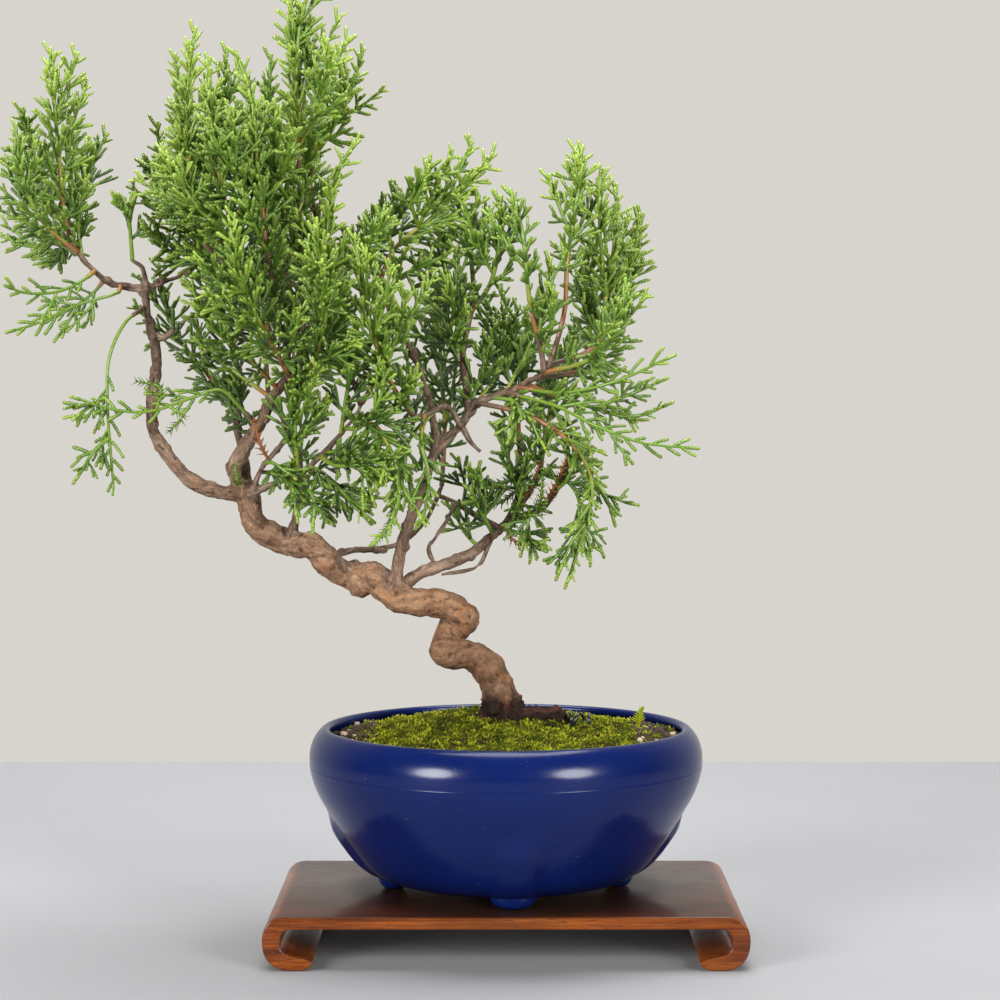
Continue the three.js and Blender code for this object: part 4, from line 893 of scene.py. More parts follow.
grey = barked.graded(fibres * 0.5 + patches * 0.5, (0.32, (0.028, 0.017, 0.012)),
                     (0.45, (0.09, 0.059, 0.042)), (0.57, (0.21, 0.15, 0.11)),
                     (0.72, (0.42, 0.33, 0.26)))
brown = barked.blend(barked.held(height_up + spots * 10, 118, 138) * 0.4, brown, grey)
bark_colour = barked.blend(barked.held(slim, 0, 0.8) * 0.85, brown, grey)
# Where the bark's relief is low, in its furrows, it is painted darker: painted shade.
bark_colour = barked.blend(barked.held(relief, 0.0, -0.28) * 0.8, bark_colour,
                           (0.025, 0.012, 0.007))
bark_colour = barked.blend((1 - barked.held(height_up + spots * 10, 100, 124)) * 0.42, bark_colour,
                           (0.04, 0.022, 0.014))
dark_foot_and_pot_shadow = 1 - barked.held(height_up + spots * 12 + fibres * 3, 89, 95)
foot_colour = barked.blend(barked.held(patches, 0.5, 0.66), (0.01, 0.005, 0.004),
                           (0.05, 0.017, 0.01))
bark_colour = barked.blend(dark_foot_and_pot_shadow * 0.97, bark_colour, foot_colour)
fitted("bark", bark, barked.finished(bark_colour, None, fibres + relief * 0.5, 0.28),
       "bark", "trunk")

# Foliage
# Leafy shoots with scale leaves pressed to their cords, as on this juniper: each shoot's stem
# sends out short side sprigs all round, and these fork into cords a millimetre and a half thick,
# yellow-green at their tips. Old stems are red-brown at the foot. Each row has the shoot's name,
# the limb it springs from and how far along it, how wide the shoot is in millimetres, its green
# (0 dark, 1 middle, 2 bright) and its stem's points, which are as for the trunk.
# The three greens are the one foliage, lit and shaded: shoots at the back of the crown take the
# dark green, painted shade, and most shoots at the top take the bright one, painted light.
SPRAYS = [
    ("left_peak", "left_arm", 1, 9.5, 2,
     [(-150.4, 247, -17), (-152, 264, -20), (-153.5, 284, -22), (-155, 303, -22)]),
    ("left_inner_peak", "left_arm", 0.9, 6, 2,
     [(-145.8, 248, -8), (-145.6, 265, -2), (-140, 278, 2)]),
    ("left_outer_peak", "left_arm", 0.94, 8, 1,
     [(-156, 243.8, -22), (-162, 252, -28), (-167, 268, -32), (-169, 285, -33)]),
    ("left_back", "left_arm", 0.8, 8, 0, [(-151, 243, 2), (-158, 256, 12), (-158, 274, 18)]),
    ("left_droop", "left_arm", 0.3, 6, 1,
     [(-133, 222, -18), (-146, 218, -24), (-162, 211, -28), (-169, 209, -30)]),
    ("left_front_droop", "left_arm", 0.65, 6, 1,
     [(-145, 226, -24), (-153, 222.5, -32), (-164, 222, -40), (-170, 224, -44)]),
    ("left_fan", "left_arm", 0.98, 6, 1, [(-154, 239, -8), (-163, 238, -2), (-171, 241, 4)]),
    ("left_rear_droop", "left_arm", 0.5, 7, 0,
     [(-141, 222, 2), (-148, 217, 14), (-157, 212, 22)]),
    ("hanging_frond", "left_limb", 0.93, 7, 1,
     [(-130, 212, -18), (-135.6, 200, -22), (-136.4, 185, -23), (-135.4, 168, -22),
      (-134.4, 155, -21)]),
    ("long_thin_shoot", "middle_limb", 0.36, 6, 2,
     [(-91, 183, -13), (-98, 189, -19), (-107, 186.4, -23), (-121.7, 181.6, -25),
      (-133, 182, -28), (-147, 186, -31)]),
    ("right_arm_rise", "right_arm", 1, 8, 1,
     [(-105, 236, -4), (-107, 250, -8), (-113, 260, -12), (-119, 266, -15)]),
    ("stub_rise", "left_stub", 1, 8, 1, [(-128, 240, -15), (-129, 248, -18), (-133, 252, -21)]),
    ("crown_left", "middle_limb", 1, 10, 2,
     [(-86, 226, -9), (-102, 238, -15), (-108.5, 272, -19), (-108, 294, -20),
      (-105.6, 313, -20)]),
    ("crown_far_left", "middle_limb", 0.97, 9, 1,
     [(-92, 224, 4), (-110, 246, 8), (-118, 272, 8), (-119, 281, 7)]),
    ("crown_left_back", "middle_limb", 0.9, 9, 1,
     [(-82, 222, 14), (-100, 244, 20), (-110, 282, 22), (-113, 304, 20)]),
    ("crown_left_front", "middle_limb", 0.94, 9, 1,
     [(-84, 222, -18), (-95, 250, -32), (-100.6, 284, -36), (-101, 303, -34)]),
    ("crown_mid_front", "red_twig", 1, 9, 1,
     [(-78, 215, -26), (-84, 258, -34), (-87, 290, -32), (-92.4, 305, -30)]),
    ("crown_mid", "middle_limb", 0.86, 9, 0,
     [(-76, 232, 6), (-79, 262, 8), (-80.4, 290, 9), (-80, 304, 9)]),
    ("crown_peak", "middle_limb", 0.8, 9, 2,
     [(-70, 230, -8), (-70.7, 277, -14), (-71.4, 298, -15), (-73.5, 328, -14)]),
    ("crown_right_peak", "middle_limb", 0.74, 10, 2,
     [(-63, 228, 12), (-67, 268, 14), (-62, 290, 15), (-53, 310, 17)]),
    ("crown_right", "front_twig", 0.98, 8, 2,
     [(-58, 212, -20), (-61, 245, -18), (-57, 264, -20), (-49.4, 275, -22)]),
    ("front_left_lobe", "red_twig", 0.95, 11, 1,
     [(-79, 203, -30), (-90, 224, -40), (-93, 250, -46)]),
    ("front_mid_lobe", "red_twig", 0.9, 11, 1,
     [(-66, 198, -27), (-61, 220, -38), (-66, 246, -46)]),
    ("rear_left_lobe", "rear_limb", 1, 11, 0,
     [(-93, 202, 30), (-99, 222, 40), (-101, 250, 46)]),
    ("rear_far_left_lobe", "rear_limb", 0.8, 8, 0,
     [(-102, 194, 26), (-114, 211, 34), (-119, 233, 37)]),
    ("rear_mid_lobe", "pale_branch", 1, 11, 0,
     [(-82, 205, 34), (-79, 228, 46), (-78, 256, 50)]),
    ("rear_right_lobe", "pale_branch", 0.75, 10, 0,
     [(-67, 194, 32), (-58, 216, 42), (-54, 242, 44)]),
    ("mid_left_shoot", "middle_limb", 0.55, 7, 1,
     [(-88, 200, -12), (-102, 212, -24), (-108, 227, -30)]),
    ("mid_left_back", "middle_limb", 0.5, 6, 0,
     [(-91, 194, 4), (-101, 202, 10), (-108, 214, 14)]),
    ("low_front_shoot", "front_twig", 0.55, 8, 1,
     [(-58, 163, -26), (-48, 163, -32), (-39, 158, -35)]),
    ("low_front_rise", "front_twig", 1, 9, 1,
     [(-44, 193, -26), (-37, 208, -32), (-34, 224, -36)]),
    ("low_hanging_shoot", "front_twig", 0.88, 5, 2,
     [(-44, 176, -26), (-37, 160, -29), (-38, 146, -28), (-46, 135, -25)]),
    ("low_back_shoot", "pale_branch", 0.3, 7, 0,
     [(-64, 158, 14), (-55, 152, 17), (-47, 147, 18)]),
    ("bright_rise", "knobby_arm", 1, 9, 2,
     [(-38.6, 190, -26), (-44, 203, -31), (-48, 220, -34), (-52, 243, -34)]),
    ("bright_hanging", "knobby_arm", 0.8, 5, 1,
     [(-29, 171, -22), (-26.6, 159.7, -24), (-27.7, 148, -24), (-30.4, 141, -23)]),
    ("slanting_shoot", "knob", 1, 9, 2,
     [(-38, 237, 5), (-26, 247, 3), (-15.7, 257, 2), (-3, 270, 1)]),
    ("slanting_back", "knob", 0.94, 9, 1, [(-47, 236, 14), (-44, 246, 18), (-40, 254, 20)]),
    ("slanting_front", "knob", 0.86, 6.5, 1, [(-38, 226, -8), (-26.6, 232, -15), (-18, 236, -18)]),
    ("centre_peak", "upright_twig", 1, 8, 1, [(-12, 238, 0), (-11.6, 248, 2), (-9, 256, 2)]),
    ("centre_back", "upright_twig", 0.78, 9, 0,
     [(-18, 222, 12), (-22, 237, 19), (-21, 252, 22)]),
    ("centre_front", "upright_twig", 0.86, 8, 1,
     [(-5, 226, -10), (-2, 242, -14), (-2, 256, -15)]),
    ("right_inner_peak", "fork_left", 1, 7, 1,
     [(8.3, 218, -16), (6.9, 230, -18), (5.5, 243, -18), (1, 258, -17)]),
    ("right_peak", "upright_limb", 1, 8, 2,
     [(20, 216, -12), (21, 234, -12), (23.7, 250, -12), (26, 273, -10)]),
    ("right_shoulder", "upright_limb", 0.97, 9, 2,
     [(30, 204, -2), (34.5, 223, 2), (37.3, 243, 4), (37.6, 260, 5)]),
    ("right_outer", "upright_limb", 0.9, 8, 1,
     [(30, 198, 10), (38, 214, 18), (43, 232, 22), (47, 250, 22)]),
    ("right_low_outer", "upright_limb", 0.94, 8, 1,
     [(30, 200, -22), (37, 210, -28), (42, 226, -30)]),
    ("right_reach", "upright_limb", 0.84, 6, 2,
     [(20, 188, -20), (38, 192, -26), (56, 200, -28)]),
    ("right_low_reach", "upright_limb", 0.87, 6, 1,
     [(26, 184, 2), (44, 180, 8), (56, 184, 10)]),
    ("right_tip", "upright_limb", 0.8, 6, 1,
     [(18, 183, -18), (30, 177, -22), (46, 171, -24), (64, 169, -24)]),
    ("right_hanging", "upright_limb", 0.7, 5, 2,
     [(8, 180, -16), (22, 171, -21), (29, 160, -22), (29, 149, -22), (25.5, 137, -21),
      (21, 122, -21)]),
    ("right_low_tip", "right_twig", 1, 6, 1, [(27, 160, -8), (34, 152, -4), (37.6, 143, -2)]),
    ("back_rise", "right_limb", 1, 10, 0, [(4, 182, 24), (2, 202, 32), (-2, 226, 36)]),
    ("back_right_rise", "right_fork", 1, 9, 0, [(14, 176, 10), (20, 194, 20), (24, 214, 30)]),
    ("back_centre_rise", "behind_branch", 1, 10, 0,
     [(-21, 175, 38), (-22, 196, 44), (-24, 220, 46)]),
]
# Shoots that fill the crown out between the ones above. The rows are alike but for the name, and
# a shoot may spring from another's stem.
FILL = [
    ("crown_left", 0.45, 9, 1, [(-98, 268, -12), (-96, 292, -8), (-95, 303, -6)]),
    ("crown_mid_front", 0.5, 9, 1, [(-92, 262, -38), (-93, 283, -42)]),
    ("crown_left_front", 0.4, 9, 2, [(-106, 252, -38), (-115, 268, -42)]),
    ("crown_far_left", 0.45, 9, 1, [(-108, 262, 2), (-113, 285, 0)]),
    ("crown_peak", 0.55, 8, 2, [(-63, 286, -20), (-61, 306, -24)]),
    ("crown_right_peak", 0.6, 8, 2, [(-58, 280, 8), (-54, 296, 2)]),
    ("crown_right", 0.5, 9, 1, [(-48, 238, -30), (-42, 248, -34)]),
    ("crown_peak", 0.35, 9, 1, [(-78, 262, -26), (-78, 284, -30)]),
    ("crown_mid", 0.5, 9, 0, [(-88, 262, 20), (-90, 285, 26)]),
    ("front_twig", 0.35, 9, 1, [(-72, 178, -20), (-68, 196, -26)]),
    ("front_twig", 0.75, 9, 1, [(-54, 190, -24), (-50, 206, -28)]),
    ("front_twig", 0.9, 8, 1, [(-40, 180, -24), (-33, 192, -26)]),
    ("front_twig", 0.6, 8, 1, [(-52, 168, -18), (-42, 172, -16)]),
    ("front_twig", 0.45, 8, 1, [(-62, 160, -20), (-54, 152, -22), (-48, 146, -22)]),
    ("pale_branch", 0.35, 8, 0, [(-60, 164, 16), (-50, 166, 20)]),
    ("pale_branch", 0.2, 7, 0, [(-66, 152, 10), (-60, 146, 12)]),
    ("red_twig", 0.5, 8, 1, [(-68, 176, -18), (-62, 184, -22)]),
    ("knobby_arm", 0.6, 8, 1, [(-33, 172, -16), (-36, 160, -14), (-40, 150, -12)]),
    ("knob", 0.35, 7, 0, [(-32, 184, 8), (-38, 196, 12)]),
    ("upright_twig", 0.35, 9, 0, [(-20, 206, 6), (-26, 218, 10)]),
    ("upright_twig", 0.5, 9, 1, [(-17, 212, -8), (-20, 226, -14)]),
    ("upright_limb", 0.62, 8, 1, [(-8, 196, -2), (-4, 210, 2)]),
    ("upright_limb", 0.7, 8, 0, [(0, 200, 2), (4, 216, 8)]),
    ("upright_limb", 0.8, 8, 1, [(8, 204, -2), (12, 220, 2)]),
    ("fork_left", 0.5, 8, 1, [(16, 212, -20), (16, 222, -23)]),
    ("right_shoulder", 0.3, 8, 1, [(27, 226, 8), (30, 242, 12)]),
    ("right_shoulder", 0.5, 8, 2, [(32, 244, -6), (33, 262, -10)]),
    ("right_outer", 0.5, 8, 2, [(43, 236, 16), (45, 247, 14)]),
    ("right_twig", 0.6, 8, 1, [(22, 160, -12), (24, 172, -16)]),
    ("right_twig", 0.8, 7, 1, [(24, 154, -4), (27, 142, -6), (29, 132, -6)]),
    ("right_fork", 0.7, 8, 0, [(12, 164, 0), (14, 176, -4)]),
    ("right_limb", 0.85, 8, 1, [(4, 156, 4), (8, 166, 0)]),
    ("right_limb", 0.75, 7, 1, [(8, 148, 2), (6, 136, -2)]),
    ("right_limb", 0.6, 7, 1, [(4, 140, 4), (12, 136, 2)]),
    ("back_twig", 0.6, 7, 0, [(-14, 156, 12), (-16, 164, 8)]),
    ("back_twig", 0.3, 7, 1, [(-6, 152, 4), (-10, 160, -2)]),
    ("right_fork", 0.4, 7, 0, [(2, 160, 2), (0, 172, -2)]),
    ("upright_limb", 0.75, 7, 1, [(4, 184, -14), (2, 174, -18)]),
    ("left_outer_peak", 0.4, 8, 1, [(-164, 254, -20), (-166, 268, -18)]),
    ("left_arm", 1, 7, 1, [(-150, 236, -6), (-157, 232, 0)]),
    ("left_back", 0.5, 8, 1, [(-160, 262, 4), (-163, 280, 0)]),
    ("hanging_frond", 0.75, 6, 1, [(-141, 168, -24), (-146, 160, -26)]),
    ("hanging_frond", 0.55, 6, 2, [(-141, 184, -26), (-147, 180, -28)]),
    ("slanting_shoot", 0.4, 8, 2, [(-32, 254, -4), (-26, 264, -8)]),
    ("slanting_back", 0.4, 8, 1, [(-38, 244, 20), (-33, 258, 24)]),
    ("centre_back", 0.4, 8, 0, [(-14, 232, 20), (-12, 246, 24)]),
    ("crown_peak", 0.62, 8, 2, [(-67, 300, -12), (-70, 318, -10)]),
    ("crown_peak", 0.75, 7, 2, [(-70, 313, -16), (-68, 321, -16)]),
    ("left_inner_peak", 0.3, 7, 1, [(-143, 262, -4), (-141, 271, -3)]),
    ("crown_right_peak", 0.62, 7, 2, [(-54, 288, 12), (-49, 303, 10)]),
    ("left_arm", 0.9, 6, 1, [(-160, 244, -12), (-167, 252, -10)]),
    ("fork_left", 0.9, 6, 1, [(14, 222, -16), (15, 232, -16)]),
    ("right_hanging", 0.75, 6, 1, [(22, 136, -24), (19, 128, -25)]),
    ("red_twig", 0.25, 7, 1, [(-80, 164, -14), (-74, 160, -18)]),
    ("slanting_shoot", 0.2, 8, 1, [(-40, 244, 8), (-38, 257, 10)]),
    ("crown_far_left", 0.3, 7, 1, [(-115, 236, -4), (-120, 246, -8)]),
    ("middle_limb", 0.35, 8, 0, [(-90, 182, 8), (-92, 194, 12)]),
    ("rear_limb", 0.6, 8, 0, [(-94, 182, 18), (-98, 192, 22)]),
    ("front_twig", 0.6, 7, 1, [(-50, 164, -28), (-46, 153, -30)]),
    ("upright_twig", 0.55, 8, 1, [(-18, 206, -12), (-14, 216, -16)]),
    ("right_low_reach", 0.5, 6, 1, [(44, 188, 6), (51, 191, 8)]),
    ("left_arm", 0.85, 8, 1, [(-146, 246, -14), (-143, 260, -14)]),
    ("front_twig", 0.8, 8, 1, [(-50, 176, -26), (-44, 184, -32), (-41, 194, -34)]),
    ("front_twig", 0.2, 5.5, 1, [(-74, 158, -18), (-72, 148, -22)]),
    ("red_twig", 0.15, 5.5, 1, [(-76, 160, -4), (-72, 150, -8)]),
    ("pale_branch", 0.15, 5.5, 1, [(-66, 150, -4), (-62, 145, -10)]),
    ("front_twig", 0.3, 5.5, 1, [(-66, 152, -20), (-66, 144, -22)]),
    ("right_limb", 0.55, 7, 1, [(-8, 146, 0), (-12, 154, -6)]),
    ("right_limb", 0.45, 7, 0, [(-14, 140, 6), (-18, 148, 2)]),
]
DEPTH_SHIFTS = [0, 3, -3, 6, -6, 9, -9, 12, -12, 15, -15]
# How many steps of a stem's end are left off, as its last sprig reaches past it, and which
# shoots are leafy only from some share of their stem on.
TIP_CUT = 2
TIP_CUTS = {"crown_peak": 0, "left_fan": 0, "left_peak": 0, "left_inner_peak": 5, "stub_rise": 0}
LATE_SPRAYS = {"right_peak": 0.34, "right_inner_peak": 0.08, "slanting_shoot": 0.1}
# Open, feathery shoots, with the share of each that is bare.
FEATHERS = {"hanging_frond": 0.4, "long_thin_shoot": 0.3, "left_droop": 0.25,
            "left_front_droop": 0.2, "left_rear_droop": 0.2, "right_tip": 0.2,
            "right_reach": 0.2}
FEATHER_SPACING = 3.2
FEATHER_CORD = 11.5
SMALL_FEATHER = 15
SMALL_FEATHER_CORD = 5.6
SPRIG_SPACING = 3.3
SPRIG_LENGTHS = [4.5, 6.5, 8.5, 11.0, 14.0, 17.0]
SPRIG_FORKS = [(0.34, 0.64), (0.45,), (0.36,)]
CORD_LENGTHS = [4.0, 6.0, 8.0, 10.0]
CORD_RADIUS = 0.58
FORK_RADIUS = 0.56
CORD_END = 0.45
# Distances from the tip, in millimetres, over which a cord, a stem and a feathery stem age.
CORD_AGE = 14
STEM_AGE = 70
FEATHER_STEM_AGE = 170
# How bright the dark, the middle and the bright green are, and how bright at a shoot's very tip.
FEATHER_TONES = (0.02, 0.14, 0.18)
FEATHER_TIP_TONES = (0.25, 0.33, 0.42)
PLUME_TONES = (0.02, 0.14, 0.27)
PLUME_TIP_TONES = (0.32, 0.42, 0.54)
LEAF_TONE_TOP = 0.78
STEM_BAND = 0.86
LOW_LEAVES = 0.2
LOW_LEAVES_RUN = 0.06
UP = Vector((0, 0, 1))

twigs = bmesh.new()
for name, (start, end, points) in LIMBS.items():
    if start < FINE_TWIG:
        wooden(twigs, name, points, [start * 1.2, start, (start + end) / 2, end], 8)


def spot_along(route, place):
    """The spot at a place in a route, counted in its steps, and the way the route runs there."""
    low = min(int(place), len(route) - 2)
    here, ahead = route[low], route[low + 1]
    return here.lerp(ahead, place - low), (ahead - here).normalized()


def limb_spot(limb, share):
    """The spot at a share of the way along a limb or a shoot's stem."""
    route = limb_routes[limb]
    return spot_along(route, share * (len(route) - 1))[0]


def node_corners(name):
    """Where the corners of a shoot's CAD node lie."""
    return [vert.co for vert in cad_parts["spray_" + name].data.vertices]


def spray_route(name, limb, share, points):
    """The stem's route. In the frame each is moved in depth until it clears its neighbours, so
    the move is the one whose tip lies on the node's own."""
    corners = node_corners(name)
    best = None
    for shift in DEPTH_SHIFTS:
        moved = [seen(x, z, depth + shift * min(1, (index + 1) / 2))
                 for index, (x, z, depth) in enumerate(points)]
        route = curve_through([limb_spot(limb, share), *moved], ROUTE_STEP * MM)
        tip = route[-1] + (route[-1] - route[-2]).normalized() * 3.5 * MM
        miss = min((corner - tip).length for corner in corners)
        if best is None or miss < best[0]:
            best = (miss, route)
    return best[1]


def cord(bm, ages, start, way, towards, length, radius):
    """A leafy cord from a spot on its stem, bending towards the way the stem grows, blunt at its
    end. It swells and narrows a little where its scale leaves overlap. Its route is given."""
    count = max(2, round(length / ROUTE_STEP))
    route = [start]
    for step in range(count):
        share = (step + 1) / count
        turned_way = (way + towards * (0.55 * share)).normalized()
        route.append(route[-1] + turned_way * ((length - CORD_END) / count) * MM)
    radii = [radius * (1.08 if bead % 2 else 0.93) * MM for bead in range(count + 1)]
    route.append(route[-1] + turned_way * CORD_END * MM)
    radii.append(radius * 0.55 * MM)
    for vert in grown(bm, route, radii, 4):
        vert[ages] = 1 - (vert.co - route[-1]).length / MM / CORD_AGE
    return route


def sprig_mesh(length, seed, forks):
    """A side sprig, growing up z: a cord with shorter cords leaving it by turns on two sides,
    the longer ones forked at given shares of their length."""
    draw = draws(seed)
    bm = bmesh.new()
    ages = bm.verts.layers.float.new("age")
    bend = 0.3 + 0.35 * next(draw)
    steps = max(4, round(length / ROUTE_STEP))
    spine = [Vector((bend * (step / steps) ** 2 * length * 0.4, 0, length * step / steps)) * MM
             for step in range(steps + 1)]
    spine[-1] = spine[-2].lerp(spine[-1], CORD_END)
    radii = [(0.6 - 0.06 * step / steps) * (1.07 if step % 2 else 0.94) * MM
             for step in range(steps + 1)]
    radii[-1] *= 0.55
    for vert in grown(bm, spine, radii, 5):
        vert[ages] = 1 - (length - vert.co.z / MM) / CORD_AGE
    mark = 1.3 + 0.6 * next(draw)
    turn = math.pi / 2 + 0.5 * (next(draw) - 0.5)
    while mark < length - 2.4:
        share = mark / length
        start, up = spot_along(spine, share * steps)
        side = Matrix.Rotation(turn, 3, up) @ up.orthogonal().normalized()
        lean = 0.84 - 0.24 * share + 0.24 * (next(draw) - 0.5)
        way = side * math.sin(lean) + up * math.cos(lean)
        reach = min(11, 3.2 + (length - mark) * 0.76) * (0.75 + 0.35 * next(draw))
        route = cord(bm, ages, start, way, up, reach, CORD_RADIUS)
        for fork_share in forks:
            if reach * (1 - fork_share) > 3.6:
                fork = route[round((len(route) - 2) * fork_share)]
                spread = way.cross(up).normalized().cross(way) * (1 if fork_share < 0.5 else -1)
                spread += way.cross(up) * (next(draw) - 0.5)
                fork_way = (way + spread * 0.8).normalized()
                cord(bm, ages, fork, fork_way, way, reach * (1 - fork_share) * 0.8, FORK_RADIUS)
        turn += math.pi + 0.7 * (next(draw) - 0.5)
        mark += 2.1 + 0.7 * next(draw)
    coloured(bm, lambda vert: vert[ages])
    return shaped("sprig", bm)


def plain_cord(length):
    """One cord growing up z and bending towards x."""
    bm = bmesh.new()
    ages = bm.verts.layers.float.new("age")
    cord(bm, ages, Vector(), UP, Vector((0.6, 0, 0)), length, CORD_RADIUS)
    coloured(bm, lambda vert: vert[ages])
    return shaped("cord", bm)


sprigs = [[sprig_mesh(length, 100 * kind + round(length * 10), forks)
           for kind, forks in enumerate(SPRIG_FORKS)] for length in SPRIG_LENGTHS]
cords = [plain_cord(length) for length in CORD_LENGTHS]


def reach_along(share):
    """How far side sprigs reach along a stem, from its foot (0) to its tip (1)."""
    return 0.7 + 0.86 * share if share < 0.35 else 1 - 1.13 * (share - 0.35)


def nearest_length(lengths, wanted):
    """The index of the length that is nearest to the one wanted."""
    return min(range(len(lengths)), key=lambda i: abs(lengths[i] - wanted))


def facing(way, towards):
    """A turn that takes z to a way and x as near as it can to another."""
    across = (towards - way * towards.dot(way)).normalized()
    return Matrix((across, way.cross(across), way)).transposed().to_4x4()


def sprig_turned(start, way, towards, length, kind):
    """A sprig of about a length, and the matrix that sets it on its stem, bending towards a
    way."""
    which = nearest_length(SPRIG_LENGTHS, length)
    scale = Matrix.Scale(length / SPRIG_LENGTHS[which], 4)
    place = Matrix.Translation(start) @ facing(way, towards) @ scale
    return sprigs[which][kind % len(SPRIG_FORKS)], place


def leafy_stem(bm, route, radius, green_from=STEM_AGE):
    """Adds the stem of a shoot, brown from a distance to its tip, and gives its length in
    millimetres."""
    stem = bmesh.new()
    ages = stem.verts.layers.float.new("age")
    length = sum((b - a).length for a, b in zip(route, route[1:])) / MM
    radii = even_radii([radius, radius * 0.85, radius * 0.7], len(route))
    for vert in grown(stem, route, radii, 6, pointed=True):
        vert[ages] = 1 - (vert.co - route[-1]).length / MM / green_from
    coloured(stem, lambda vert: vert[ages], STEM_BAND)
    joined(bm, "stem", stem)
    return length


def low_shade(spot):
    """How much darker leaves are low in the tree."""
    return 0.1 * step_up(LOW_LEAVES - spot.z, 0, LOW_LEAVES_RUN)


def feather(bm, route, radius, green, draw, leafless, longest=FEATHER_CORD):
    """An open leafy stem: single cords and a few smaller feathers on its two sides."""
    length = leafy_stem(bm, route, radius, FEATHER_STEM_AGE)
    steps = len(route) - 1
    mark = max(2.5, leafless * length)
    side = 1
    while mark < length - 2:
        share = mark / length
        start, way = spot_along(route, share * steps)
        across = Matrix.Rotation(1.2 * (next(draw) - 0.5), 3, way) @ way.cross(Vector((0, 1, 0)))
        out = (across.normalized() * side + way * (0.75 + 0.5 * next(draw))).normalized()
        reach = longest * (1 - 0.5 * share) * (0.55 + 0.65 * next(draw))
        tone = FEATHER_TONES[green] + 0.22 * share + 0.2 * (next(draw) - 0.5) - low_shade(start)
        if longest == FEATHER_CORD and share < 0.7 and next(draw) < 0.15:
            far = SMALL_FEATHER * (1 - 0.5 * share)
            bent = [start + out * far * part * MM + way * (far * 0.3 * part ** 2) * MM
                    for part in (0, 0.2, 0.4, 0.6, 0.8, 1)]
            feather(bm, bent, radius * 0.85, green, draw, 0.2, SMALL_FEATHER_CORD)
        else:
            turn = facing(out, way)
            placed(bm, cords[nearest_length(CORD_LENGTHS, reach)],
                   Matrix.Translation(start) @ turn, max(0.01, tone))
            if reach > 8.5:
                fork = Matrix.Translation(start + out * 0.45 * reach * MM)
                spread = (out * 0.9 + turn.col[0].to_3d()).normalized()
                placed(bm, cords[0], fork @ facing(spread, out), max(0.01, tone))
        side = -side
        mark += FEATHER_SPACING * (0.6 + 0.8 * next(draw))
    tip_way = (route[-1] - route[-2]).normalized()
    placed(bm, cords[0], Matrix.Translation(route[-2]) @ aimed(tip_way), FEATHER_TIP_TONES[green])


def plume(bm, route, radius, width, green, draw, from_step=0, side_plumes=0):
    """A leafy stem: sprigs all round it, shorter to its tip, and side plumes in its lower part."""
    length = leafy_stem(bm, route, radius)
    steps = len(route) - 1
    spacing = length / steps
    first = from_step / steps
    mark = first * length + 1
    turn = math.tau * next(draw)
    count = 0
    while mark < length - 1.5:
        share = (mark / length - first) / (1 - first)
        start, way = spot_along(route, mark / spacing)
        side = Matrix.Rotation(turn, 3, way) @ way.orthogonal().normalized()
        lean = 0.92 - 0.5 * share + 0.25 * (next(draw) - 0.5)
        out = side * math.sin(lean) + way * math.cos(lean)
        reach = 1.42 * width * reach_along(share) * (0.75 + 0.45 * next(draw))
        tone = PLUME_TONES[green] + 0.42 * share ** 2 + 0.22 * (next(draw) - 0.5)
        tone -= low_shade(start)
        if side_plumes and count % side_plumes == side_plumes - 1 and share < 0.72:
            long_reach = reach * 1.75
            bent = [start + out * long_reach * part * MM
                    + (way + UP * 0.5) * (long_reach * 0.28 * part ** 2) * MM
                    for part in (0, 0.17, 0.33, 0.5, 0.67, 0.83, 1)]
            plume(bm, bent, radius * 0.8, width * 0.6, green, draw)
        else:
            mesh, matrix = sprig_turned(start, out, way + UP * 0.3, max(3.2, reach), count)
            placed(bm, mesh, matrix, min(LEAF_TONE_TOP, max(0.02, tone)))
        turn += math.pi * (1 if count % 2 else 0.5) + 0.6 * (next(draw) - 0.5)
        mark += SPRIG_SPACING * (0.8 + 0.4 * next(draw)) * (1 - 0.5 * share)
        count += 1
    tip_way = (route[-1] - route[-2]).normalized()
    mesh, matrix = sprig_turned(route[-2], tip_way, tip_way.orthogonal(), 4.6, count)
    placed(bm, mesh, matrix, PLUME_TIP_TONES[green])


def drawn_in(bm, foot):
    """Draws a shoot in towards its foot if it stands out of the frame's box."""
    share = 1
    for vert in bm.verts:
        for axis in range(3):
            reach = vert.co[axis] - foot[axis]
            if vert.co[axis] > cad_box[1][axis]:
                share = min(share, (cad_box[1][axis] - foot[axis]) / reach)
            if vert.co[axis] < cad_box[0][axis]:
                share = min(share, (cad_box[0][axis] - foot[axis]) / reach)
    if share < 1:
        bmesh.ops.transform(bm, verts=bm.verts, matrix=Matrix.Translation(foot)
                            @ Matrix.Scale(share * 0.999, 4) @ Matrix.Translation(-foot))


